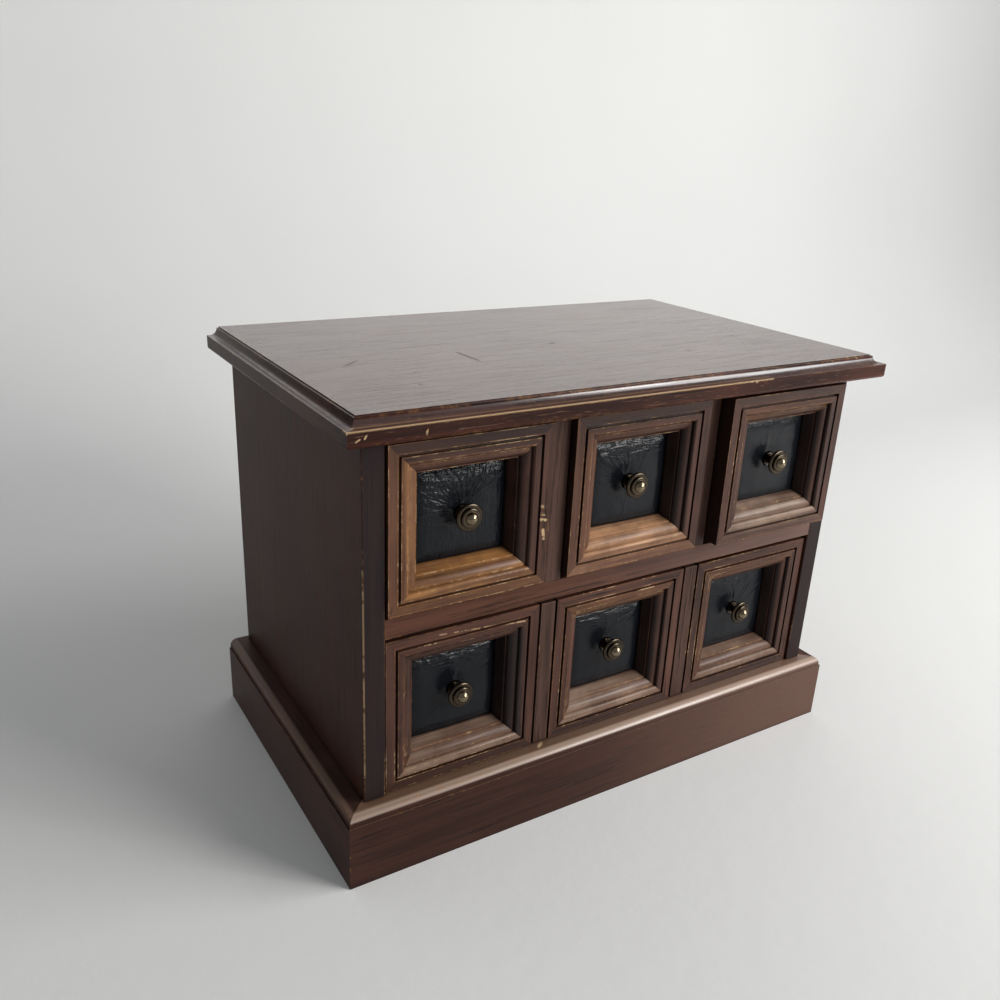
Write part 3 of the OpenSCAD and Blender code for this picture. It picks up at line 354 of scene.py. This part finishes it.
def plain_wood(name, axis, dark, light):
    """Bare or thinly stained inside wood.

    The grain runs along axis. A grain along Y turns to X on faces turned to the front or back."""
    g = Graph(name)
    place = g.place()
    grain = g.stretch(place, grain_scale(axis))
    if axis == "Y":
        broad = g.top(g.facing(0, 1, 0), g.facing(0, -1, 0))
        grain = g.choose(g.math("GREATER_THAN", broad, 0.7), grain, g.stretch(place, grain_scale("X")))
    streaks = g.noise(grain, 0.7, 6.0, 0.6, 0.5)
    pores = g.step(g.noise(g.stretch(grain, (2, 2, 2)), 1.0, 4.0, 0.7), 0.58, 0.72)
    color = g.mix(g.step(streaks, 0.3, 0.7), dark, light)
    color = g.mix(g.mul(pores, 0.5), color, dim(dark, 0.45))
    # Painted shade in corners
    color = g.mix(g.fit(g.step(g.shade(0.008), 0.2, 0.9), 0.5, 0.0), color, dim(dark, 0.2))
    height = g.minus(g.mul(streaks, 0.5), pores)
    return g.finish(color=color, rough=g.fit(streaks, 0.55, 0.75), normal=g.bump(height, 0.00015, 0.5))


def leather_material(name, seed, folds, wrinkles):
    """Black leather with a fine grain, folds that run out from the knob and wrinkles along the top."""
    g = Graph(name)
    place = g.place()
    x, _, z = g.split(g.span())
    u, v = g.minus(x, 0.5), g.minus(z, 0.5)
    out = g.math("SQRT", g.plus(g.mul(u, u), g.mul(v, v)))
    turn = g.math("ARCTAN2", u, v)
    rays = g.noise(g.join(g.mul(turn, 9.0), g.mul(out, 6.0), seed), 1.0, 2.0, 0.5, 0.5)
    fan = g.step(g.math("ABSOLUTE", g.plus(turn, 0.3)), 1.7, 0.5)
    height = g.mul(rays, g.step(out, 0.10, 0.26), fan, folds)
    cracks = g.noise(g.stretch(place, (760, 760, 150)), 1.0, 2.0, 0.5, 0.4)
    height = g.plus(height, g.mul(cracks, g.step(out, 0.12, 0.25), folds, 0.22))
    cross = g.noise(g.stretch(place, (110, 110, 560)), 1.0, 2.0, 0.5, 0.5)
    height = g.plus(height, g.mul(cross, g.step(v, 0.16, 0.44), wrinkles))
    patches = g.noise(place, 60.0, 3.0)
    grain = g.noise(place, 1300.0, 3.0, 0.6)
    color = g.mix(patches, (0.0036, 0.0042, 0.0058, 1), (0.0070, 0.0082, 0.0112, 1))
    normal = g.bump(grain, 0.00013, 0.8, normal=g.bump(height, 0.0015, 0.85))
    return g.finish(color=color, rough=g.fit(patches, 0.16, 0.24), specular=0.20, normal=normal)


def antique_brass():
    """Darkened brass of the knobs, bright on the worn rings and the tip."""
    g = Graph("antique_brass")
    place = g.place()
    open_side = g.shade(0.003)
    rim = g.edges(0.0005, 0.01, 0.12, open_side)
    spots = g.noise(place, 700.0, 4.0, 0.6)
    length = g.split(g.span())[1]
    color = g.mix(g.step(open_side, 0.35, 0.95), (0.010, 0.008, 0.006, 1), (0.060, 0.047, 0.033, 1))
    color = g.mix(g.step(length, 0.21, 0.16), color, (0.22, 0.175, 0.115, 1))
    color = g.mix(g.mul(g.step(spots, 0.45, 0.75), 0.6), color, (0.030, 0.023, 0.016, 1))
    color = g.mix(g.mul(rim, 0.6), color, (0.36, 0.30, 0.21, 1))
    return g.finish(color=color, metal=1.0, rough=g.fit(spots, 0.14, 0.26),
                    normal=g.bump(spots, 0.00005, 0.4))


def metal(name, color, tint, rough):
    """Brushed metal with faint stains."""
    g = Graph(name)
    place = g.place()
    lines = g.noise(g.stretch(place, (300, 2400, 300)), 1.0, 3.0, 0.6)
    stains = g.noise(place, 180.0, 4.0)
    shown = g.mix(g.mul(g.step(stains, 0.4, 0.75), 0.7), color, tint)
    # Painted shade in crevices
    shown = g.mix(g.fit(g.step(g.shade(0.002), 0.2, 0.8), 0.6, 0.0), shown, dim(tint, 0.15))
    return g.finish(color=shown, metal=1.0, rough=g.fit(lines, rough - 0.08, rough + 0.12),
                    normal=g.bump(lines, 0.00003, 0.5))


def felt_material():
    """Flocked cloth with a short uneven nap."""
    g = Graph("wine_felt")
    place = g.place()
    nap = g.noise(place, 1500.0, 3.0, 0.7)
    sweep = g.noise(place, 38.0, 3.0, 0.6, 0.6)
    color = g.mix(nap, (0.060, 0.006, 0.010, 1), (0.20, 0.024, 0.036, 1))
    color = g.mix(g.mul(g.step(sweep, 0.45, 0.65), 0.5), color, (0.27, 0.045, 0.06, 1))
    return g.finish(color=color, rough=0.95, specular=0.15, sheen=0.35, sheen_rough=0.5,
                    normal=g.bump(nap, 0.0003, 0.6))


def stage_material():
    """Pale matt floor and backdrop."""
    g = Graph("pale_stage")
    place = g.place()
    color = g.mix(g.noise(place, 3.0, 4.0), (0.74, 0.735, 0.72, 1), (0.80, 0.795, 0.78, 1))
    return g.finish(color=color, rough=0.9, specular=0.1, normal=g.bump(g.noise(place, 90.0, 4.0), 0.0006, 0.3))


def dress(node, material, edge=0.0004):
    """Gives a CAD node its material and slightly rounded edges."""
    obj = NODES[node]
    obj.data.materials.clear()
    obj.data.materials.append(material)
    weld = obj.modifiers.new("weld", "WELD")
    weld.merge_threshold = 1e-6
    if edge:
        bevel = obj.modifiers.new("edges", "BEVEL")
        bevel.width = edge
        bevel.segments = 2
        bevel.limit_method = "ANGLE"
        bevel.angle_limit = math.radians(40)
        bevel.harden_normals = False
        bevel.use_clamp_overlap = True


def link(name, data):
    obj = bpy.data.objects.new(name, data)
    bpy.context.scene.collection.objects.link(obj)
    return obj


def smooth_object(name, verts, faces, material):
    mesh = bpy.data.meshes.new(name)
    mesh.from_pydata(verts, [], faces)
    mesh.polygons.foreach_set("use_smooth", [True] * len(mesh.polygons))
    mesh.materials.append(material)
    mesh.update()
    return link(name, mesh)


def middle(lo, hi):
    """Centre of a box seen from the front, (x, z)."""
    return (lo.x + hi.x) / 2, (lo.z + hi.z) / 2


def leather_pad(name, body, node, centre, size, depth, roll, creases, material):
    """Padded leather panel: crowned, rolled in at its rim and drawn in under the knob, with creases.

    depth is (back y, front y), and roll is how far the rim turns in. creases are
    (x, z, angle, length, width, height), in metres from the centre."""
    width, tall = size
    back, front = depth
    thick = back - front
    reach = math.hypot(width, tall) / 2

    def height(x, z):
        r = math.hypot(x, z)
        h = thick - PAD_CROWN * (r / reach) ** 2
        h -= DIMPLE_DEPTH * math.exp(-(r / DIMPLE_RADIUS) ** 2)
        h += PAD_WAVE * noise.noise(Vector((x * 210, centre[1] * 90, z * 210)))
        for cx, cz, angle, length, wide, high in creases:
            c, s = math.cos(angle), math.sin(angle)
            u, v = (x - cx) * c + (z - cz) * s, (z - cz) * c - (x - cx) * s
            v -= 0.0012 * math.sin(u * 260 + cx * 900)
            ends = max(0.0, 1 - (u / (length / 2)) ** 2)
            h += high * ends * math.exp(-(v / wide) ** 2)
        rim = min(width / 2 - abs(x), tall / 2 - abs(z))
        h -= roll * max(0.0, 1 - rim / PAD_RIM) ** 2
        return min(h, thick - FOOT_DEPTH if r < FOOT_RADIUS else thick)

    # Front face, a grid of cells
    verts, faces = [], []
    row = PAD_CELLS + 1
    for j in range(row):
        for i in range(row):
            x, z = (i / PAD_CELLS - 0.5) * width, (j / PAD_CELLS - 0.5) * tall
            verts.append((centre[0] + x, back - height(x, z), centre[1] + z))
    for j in range(PAD_CELLS):
        for i in range(PAD_CELLS):
            a = j * row + i
            faces.append((a, a + 1, a + row + 1, a + row))

    # Sides and back, from the points round the grid
    rim = (list(range(row)) + [j * row + PAD_CELLS for j in range(1, row)]
           + [PAD_CELLS * row + i for i in range(PAD_CELLS - 1, -1, -1)]
           + [j * row for j in range(PAD_CELLS - 1, 0, -1)])
    start, total = len(verts), len(rim)
    for k in rim:
        x, _, z = verts[k]
        verts.append((x, back, z))
    for k in range(total):
        n = (k + 1) % total
        faces.append((rim[k], start + k, start + n, rim[n]))
    faces.append([start + k for k in range(total)])

    obj = smooth_object(name, verts, faces, material)
    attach(obj, body)
    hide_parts(node)


def lining(name, body, node, material, holes, board_y):
    """Felt tray laid in a drawer, with rounded folds and cut round the screw heads.

    holes are (x, z, radius) in the wall at board_y."""
    lo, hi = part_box(node)
    # The tray is modelled as its middle layer, just over half its thickness in from the node's box
    inner_lo = lo + Vector((FELT_THICK, FELT_THICK, FELT_THICK)) * 0.55
    inner_hi = hi - Vector((FELT_THICK, FELT_THICK, 0)) * 0.55
    mesh = bmesh.new()
    bmesh.ops.create_cube(mesh, size=1.0)
    for v in mesh.verts:
        v.co = Vector([inner_lo[k] if v.co[k] < 0 else inner_hi[k] for k in range(3)])
    lid = [f for f in mesh.faces if f.normal.z > 0.9]
    bmesh.ops.delete(mesh, geom=lid, context="FACES")
    folds = [e for e in mesh.edges if len(e.link_faces) == 2]
    bmesh.ops.bevel(mesh, geom=folds, offset=FELT_FOLD, segments=4, profile=0.5, affect="EDGES")
    data = bpy.data.meshes.new(name)
    mesh.to_mesh(data)
    mesh.free()
    data.materials.append(material)
    data.polygons.foreach_set("use_smooth", [True] * len(data.polygons))
    obj = link(name, data)
    solid = obj.modifiers.new("thickness", "SOLIDIFY")
    solid.thickness = FELT_THICK
    solid.offset = 0.0
    cutters = []
    for x, z, radius in holes:
        cut = bmesh.new()
        bmesh.ops.create_cone(cut, cap_ends=True, segments=32, radius1=radius, radius2=radius, depth=0.02,
                              matrix=Matrix.Translation((x, board_y, z)) @ Matrix.Rotation(math.pi / 2, 4, "X"))
        cut_data = bpy.data.meshes.new("cutter")
        cut.to_mesh(cut_data)
        cut.free()
        cutter = link("cutter", cut_data)
        boolean = obj.modifiers.new("hole", "BOOLEAN")
        boolean.object = cutter
        boolean.operation = "DIFFERENCE"
        boolean.solver = "EXACT"
        cutters.append(cutter)
    bpy.context.view_layer.update()
    evaluated = obj.evaluated_get(bpy.context.evaluated_depsgraph_get())
    obj.data = bpy.data.meshes.new_from_object(evaluated)
    obj.modifiers.clear()
    for cutter in cutters:
        bpy.data.objects.remove(cutter)
    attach(obj, body)
    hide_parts(node)


# Camera at the photograph's angle
azimuth, elevation, tilt = (math.radians(a) for a in (-32.3347, 21.2462, 2.6434))
back = Vector((math.sin(azimuth) * math.cos(elevation), -math.cos(azimuth) * math.cos(elevation),
               math.sin(elevation)))
right = Vector((math.cos(azimuth), math.sin(azimuth), 0))
up = back.cross(right)
tilted_right = right * math.cos(tilt) + up * math.sin(tilt)
tilted_up = up * math.cos(tilt) - right * math.sin(tilt)
camera = link("camera", bpy.data.cameras.new("camera"))
camera.data.lens = 34.009
camera.data.sensor_width = 36
camera.data.clip_start = 0.01
camera.matrix_world = Matrix.Translation((-0.24494, -0.35134, 0.28246)) @ Matrix(
    (tilted_right, tilted_up, back)).transposed().to_4x4()
bpy.context.scene.camera = camera
bpy.context.scene.view_settings.view_transform = "Standard"

# Pale floor that curves up into a backdrop
FLOOR_END, BEND, BEND_STEPS = 0.30, 0.35, 12
profile = [(-4.0, 0.0), (FLOOR_END, 0.0)]
for k in range(1, BEND_STEPS + 1):
    turn = k * math.pi / (2 * BEND_STEPS)
    profile.append((FLOOR_END + BEND * math.sin(turn), BEND - BEND * math.cos(turn)))
profile.append((FLOOR_END + BEND, 3.5))
stage = smooth_object("stage", [(side * 5.0, y, z) for y, z in profile for side in (-1, 1)],
                      [(2 * k, 2 * k + 1, 2 * k + 3, 2 * k + 2) for k in range(len(profile) - 1)],
                      stage_material())


def area_light(name, place, aim, size, watts, color=(1, 1, 1)):
    lamp = bpy.data.lights.new(name, "AREA")
    lamp.shape = "SQUARE"
    lamp.size = size
    lamp.energy = watts
    lamp.color = color
    obj = link(name, lamp)
    obj.location = place
    obj.rotation_mode = "QUATERNION"
    obj.rotation_quaternion = (Vector(aim) - Vector(place)).to_track_quat("-Z", "Y")


area_light("key", (0.70, -1.00, 0.52), (0, 0, 0.08), 0.45, 10.0, (1.0, 0.985, 0.96))
area_light("window", (1.00, -0.62, 0.77), (0, 0, 0.1), 0.75, 10.5)

world = bpy.data.worlds.new("studio")
world.use_nodes = True
sky = world.node_tree.nodes["Background"].inputs
sky["Color"].default_value = (0.90, 0.95, 1.0, 1)
sky["Strength"].default_value = 0.30
bpy.context.scene.world = world

# Wood of the case
TOP_TONES = ((0.022, 0.0072, 0.0050, 1), (0.057, 0.0172, 0.0106, 1), (0.084, 0.0270, 0.0160, 1))
SIDE_TONES = ((0.032, 0.0112, 0.0076, 1), (0.053, 0.0180, 0.0116, 1), (0.070, 0.0260, 0.0166, 1))
RAIL_TONES = ((0.040, 0.0150, 0.0095, 1), (0.092, 0.0370, 0.0225, 1), (0.12, 0.050, 0.031, 1))
STRIP_TONES = ((0.036, 0.0185, 0.0140, 1), (0.082, 0.0425, 0.0320, 1), (0.105, 0.058, 0.045, 1))
PLINTH_TONES = ((0.026, 0.0095, 0.0062, 1), (0.046, 0.0165, 0.0105, 1), (0.066, 0.026, 0.017, 1))
BOX_TONES = ((0.17, 0.088, 0.042, 1), (0.33, 0.190, 0.098, 1))
NOSE_WEAR = [((-0.14, -0.082, 0.1900), (-0.05, -0.078, 0.1925), 0.45),
             ((-0.05, -0.082, 0.1900), (0.06, -0.078, 0.1925), 0.30)]
NOSE_CHIPS = [((-0.1040, NOSE_Y, 0.1869), (-0.1037, NOSE_Y, 0.1884), 0.0011, 0.9),
              ((-0.1296, NOSE_Y, 0.1872), (-0.1284, NOSE_Y, 0.1880), 0.0009, 0.8),
              ((-0.1266, NOSE_Y, 0.1880), (-0.1258, NOSE_Y, 0.1892), 0.0009, 0.8),
              ((0.0470, NOSE_Y, 0.1908), (0.0505, NOSE_Y, 0.1902), 0.0012, 0.9)]
TOP_SCARS = [((-0.0506, -0.0052, TOP_Z), (-0.0496, -0.0224, TOP_Z), 0.0018, 0.9),
             ((-0.0020, -0.0040, TOP_Z), (0.0006, -0.0030, TOP_Z), 0.0030, 0.75),
             ((0.0490, -0.0390, TOP_Z), (0.0510, -0.0380, TOP_Z), 0.0028, 0.6),
             ((-0.1041, -0.0109, TOP_Z), (-0.0960, -0.0040, TOP_Z), 0.0014, 0.8),
             ((-0.0830, -0.0300, TOP_Z), (-0.0826, -0.0298, TOP_Z), 0.0020, 0.9),
             ((-0.0900, -0.0480, TOP_Z), (-0.0896, -0.0476, TOP_Z), 0.0018, 0.9)]
CORNER_WEAR = [((-0.1245, -0.0705, 0.045), (-0.1215, -0.0680, 0.135), 0.16)]
PLINTH_CHIPS = [((-0.0415, -0.0712, 0.0334), (-0.0392, -0.0690, 0.0334), 0.0022, 0.9)]

top_wood = wood("top_wood", "X", TOP_TONES, wear=0.45, rough=0.30, specular=0.1, coat=1.0, flecks=0.35,
                # Painted sheen: the top's upward face is lighter and redder
                rub_width=0.0012, dust_and_sheen=[((0, 0, 1), TOP_SHEEN, 0.13)], boosts=NOSE_WEAR, strokes=NOSE_CHIPS,
                scars=TOP_SCARS)
side_wood = wood("side_wood", "Z", SIDE_TONES, wear=0.4, rough=0.42, dark_front=0.8, boosts=CORNER_WEAR)
rail_wood = wood("rail_wood", "X", RAIL_TONES, wear=0.4, rough=0.42,
                 # Painted light, lighter towards the right
                 light_ramp=(-0.06, 0.12, (0.18, 0.115, 0.098, 1), 0.6))
strip_wood = wood("strip_wood", "Z", STRIP_TONES, wear=0.5, rough=0.42)
plinth_wood = wood("plinth_wood", "X", PLINTH_TONES, wear=0.25, rough=0.34, specular=0.15, coat=0.85,
                   # Painted light, lighter towards the right
                   coat_rough=0.40, light_ramp=(-0.06, 0.13, (0.14, 0.076, 0.055, 1), 0.7),
                   # Painted highlight with some haze on the nose, and a warm tint on the ledge's top
                   dust_and_sheen=[((0, 0, 1), GOLD, 0.2), ((0, -0.6, 0.8), HAZE_AND_HIGHLIGHT, 0.8)], strokes=PLINTH_CHIPS)
plinth_end_wood = wood("plinth_end_wood", "Y", TOP_TONES, wear=0.25, rough=0.38,
                       # Painted highlight with some haze on the nose
                       dust_and_sheen=[((-0.6, 0, 0.8), HAZE_AND_HIGHLIGHT, 0.25)])
back_wood = plain_wood("back_wood", "Z", (0.072, 0.038, 0.021, 1), (0.145, 0.080, 0.043, 1))
floor_wood = plain_wood("floor_wood", "X", (0.10, 0.060, 0.034, 1), (0.21, 0.135, 0.080, 1))
box_wood = plain_wood("box_wood", "Y", *BOX_TONES)
front_wood = plain_wood("front_wood", "X", *BOX_TONES)

dress("top_board", top_wood, edge=0.0006)
for node in ("left_side", "right_side"):
    dress(node, side_wood)
for node in ("left_divider", "right_divider"):
    dress(node, strip_wood)
dress("shelf", rail_wood)
for node in ("plinth_front", "plinth_back"):
    dress(node, plinth_wood)
for node in ("plinth_left", "plinth_right"):
    dress(node, plinth_end_wood)
dress("back_panel", back_wood, edge=0.0)
dress("floor_board", floor_wood, edge=0.0)
dress("glue_blocks", floor_wood)

# Drawer fronts: each stick's finish with painted light and shade, edge wear and chips, and each pad's folds
FRAME_TONES = ((0.034, 0.0135, 0.0090, 1), (0.088, 0.0360, 0.0230, 1), (0.118, 0.0520, 0.0340, 1))
# Per stick: wear and dust, and painted light and shade; SHADE is painted shade on sticks turned from the lamps,
# and bottoms are painted lighter as lit from above
RUBS_AND_SHADE = {"left": {"left": (GOLD, 0.46), "top": (SHADE, 0.25), "bottom": (GOLD, 0.95), "right": (SHADE, 0.95)},
        "middle": {"left": (GOLD, 0.14), "top": (SHADE, 0.2), "bottom": (PALE, 1.0), "right": (SHADE, 0.9)},
        "right": {"left": (SHADE, 0.4), "top": (GOLD, 0.12), "bottom": (DUST_AND_LIGHT, 0.9), "right": (SHADE, 0.6)}}
# The same for the lower drawer's three frames
LOWER_RUBS_AND_SHADE = {
    "left": {"left": (SHADE, 0.85), "top": (SHADE, 0.35), "bottom": (DUST_AND_LIGHT, 0.7), "right": (SHADE, 1.3)},
    "middle": {"left": (SHADE, 0.25), "top": (GOLD, 0.20), "bottom": (DUST_AND_LIGHT, 0.95), "right": (SHADE, 0.6)},
    "right": {"left": (GOLD, 0.06), "top": (GOLD, 0.08), "bottom": (DUST_AND_LIGHT, 0.75), "right": (SHADE, 0.6)}}
RUBBED = {"left": 0.85, "middle": 0.7, "right": 0.65}
# How dark the painted shade is on faces turned left or down, for each upper drawer
TURNED_SHADES = {"left": 0.35, "middle": 0.85, "right": 0.85}
CHIPS = {"left": [((-0.0478, UPPER_Y, z), (-0.0452, UPPER_Y, z - 0.0006), 0.0016, 0.8)
                  for z in (0.1472, 0.1440, 0.1416)]
         + [((-0.0462, UPPER_Y, 0.1368), (-0.0458, UPPER_Y, 0.1330), 0.0020, 0.8)],
         "middle": [], "right": []}
LOWER_CHIPS = [((-0.0902, LOWER_Y, 0.0999), (-0.0722, LOWER_Y, 0.0984), 0.0008, 0.5),
               ((-0.0700, LOWER_Y, 0.0982), (-0.0507, LOWER_Y, 0.0963), 0.0010, 0.7),
               ((-0.1000, LOWER_Y, 0.0972), (-0.0920, LOWER_Y, 0.0968), 0.0009, 0.7),
               ((0.0086, LOWER_Y, 0.0971), (0.0177, LOWER_Y, 0.0970), 0.0012, 0.9)]
# Strengths of the folds and wrinkles in the leather's material
FOLDS = {"left": (1.0, 0.9), "middle": (0.25, 0.9), "right": (0.1, 0.12),
         "lower_left": (0.2, 0.9), "lower_middle": (0.1, 0.7), "lower_right": (0.1, 0.4)}
# How far the rim rolls in, and the count and height of the creases above the knob
CREASES = {"left": (0.0012, 9, 0.00022), "middle": (0.0011, 6, 0.00018), "right": (0.0006, 3, 0.00008),
           "lower_left": (0.0012, 6, 0.0002), "lower_middle": (0.0010, 3, 0.0002),
           "lower_right": (0.0007, 3, 0.0002)}

knob_brass = antique_brass()
felt = felt_material()
steel = metal("steel", (0.55, 0.55, 0.56, 1), (0.30, 0.28, 0.25, 1), 0.34)
brass = metal("brass", (0.72, 0.50, 0.20, 1), (0.48, 0.31, 0.12, 1), 0.28)
HIDES = {key: leather_material(key + "_leather", 3.7 * k, *pair)
         for k, (key, pair) in enumerate(FOLDS.items())}

knob_lo, knob_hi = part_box("left_drawer_knob")
knobs_lo, knobs_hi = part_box("lower_drawer_knobs")
PITCH = (knobs_hi.x - knobs_lo.x - (knob_hi.x - knob_lo.x)) / 2
rng = random.Random(4)


def frame_panels(node, copies):
    """The values that stick_masks takes for a row of equal mitred frames, in metres.

    They are the row's centre x and z, its pitch, half of what a frame is wider than high, and half
    of its height."""
    lo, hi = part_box(node)
    width = hi.x - lo.x - (copies - 1) * PITCH
    return (*middle(lo, hi), PITCH, (width - (hi.z - lo.z)) / 2, (hi.z - lo.z) / 2)


def frame_wood(name, panels, **more):
    return wood(name, None, FRAME_TONES, rough=0.30, specular=0.2, groove_shade=0.2, panels=panels, **more)


def dress_drawer(head, ending=""):
    """Gives a drawer's knobs, screws and boards their materials."""
    dress(head + "knob" + ending, knob_brass, edge=0.0)
    dress(head + "knob_screw" + ending, steel, edge=0.0)
    dress(head + "front_board", front_wood, edge=0.0)
    dress(head + "walls", box_wood)
    dress(head + "bottom", front_wood)


def fan_creases(count, spread, base, length, high):
    """Creases that run from near the knob out to the rim, within an angle."""
    made = []
    for _ in range(count):
        angle = base + (rng.random() - 0.5) * spread
        reach = 0.009 + 0.009 * rng.random()
        made.append((math.cos(angle) * reach, math.sin(angle) * reach, angle + (rng.random() - 0.5) * 0.5,
                     length * (0.6 + 0.6 * rng.random()), 0.0005 + 0.0005 * rng.random(),
                     high * (0.5 + rng.random())))
    return made


def loose_creases(count):
    """Small creases all round the knob."""
    return fan_creases(count, 6.28, 0.0, 0.012, 0.00012)


for side in ROWS:
    body = side + "_drawer"
    head = body + "_"
    panels = frame_panels(head + "frame", 1)
    dress(head + "frame", frame_wood(head + "frame_wood", panels, wear=RUBBED[side], glaze=TURNED_SHADES[side],
                                     # The top sticks' flats carry the painted shadow of the top's overhang
                                     rubs=[(panels[0], RUBS_AND_SHADE[side])], dark_flats=[("top", 0.5)],
                                     strokes=CHIPS[side]))
    dress_drawer(head)
    lo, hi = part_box(head + "leather")
    roll, count, high = CREASES[side]
    leather_pad(side + "_leather_pad", body, head + "leather", middle(lo, hi), (hi.x - lo.x, hi.z - lo.z),
                (hi.y, lo.y), roll, fan_creases(count, 2.2, 1.9, 0.016, high) + loose_creases(4), HIDES[side])
    lo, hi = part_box(head + "knob_screw")
    lining(side + "_felt", body, head + "lining", felt,
           [(*middle(lo, hi), (hi.x - lo.x) / 2 + SCREW_GAP)], hi.y)

panels = frame_panels("lower_drawer_frames", 3)
rubs = [(panels[0] + (k - 1) * PITCH, LOWER_RUBS_AND_SHADE[side]) for k, side in enumerate(ROWS)]
dress("lower_drawer_frames", frame_wood("lower_frame_wood", panels, wear=0.7, glaze=0.85, rubs=rubs,
                                        flat_share=0.0, dark_flats=[("bottom", 0.55), ("left", 0.25)],
                                        strokes=LOWER_CHIPS))
dress("lower_drawer_strips", strip_wood)
dress_drawer("lower_drawer_", "s")
lo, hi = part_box("lower_drawer_leathers")
mid_x, mid_z = middle(lo, hi)
for k, side in enumerate(ROWS):
    roll, count, high = CREASES["lower_" + side]
    leather_pad("lower_" + side + "_leather_pad", "lower_drawer", "lower_drawer_leathers",
                (mid_x + (k - 1) * PITCH, mid_z), (hi.x - lo.x - 2 * PITCH, hi.z - lo.z), (hi.y, lo.y), roll,
                fan_creases(count, 1.6, 1.2, 0.014, high) + loose_creases(3), HIDES["lower_" + side])
lo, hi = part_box("lower_drawer_knob_screws")
mid_x, mid_z = middle(lo, hi)
lining("lower_felt", "lower_drawer", "lower_drawer_lining", felt,
       [(mid_x + k * PITCH, mid_z, (hi.z - lo.z) / 2 + SCREW_GAP) for k in (-1, 0, 1)], hi.y)

# Movement
for node in ("movement_bedplate", "spring_barrel", "crown_wheel", "music_cylinder", "governor_gear"):
    dress(node, brass, edge=0.0)
for node in ("movement_screws", "music_comb", "comb_screws", "mainspring", "winding_key", "governor_fan",
             "stop_lever", "back_brads"):
    dress(node, steel, edge=0.0)
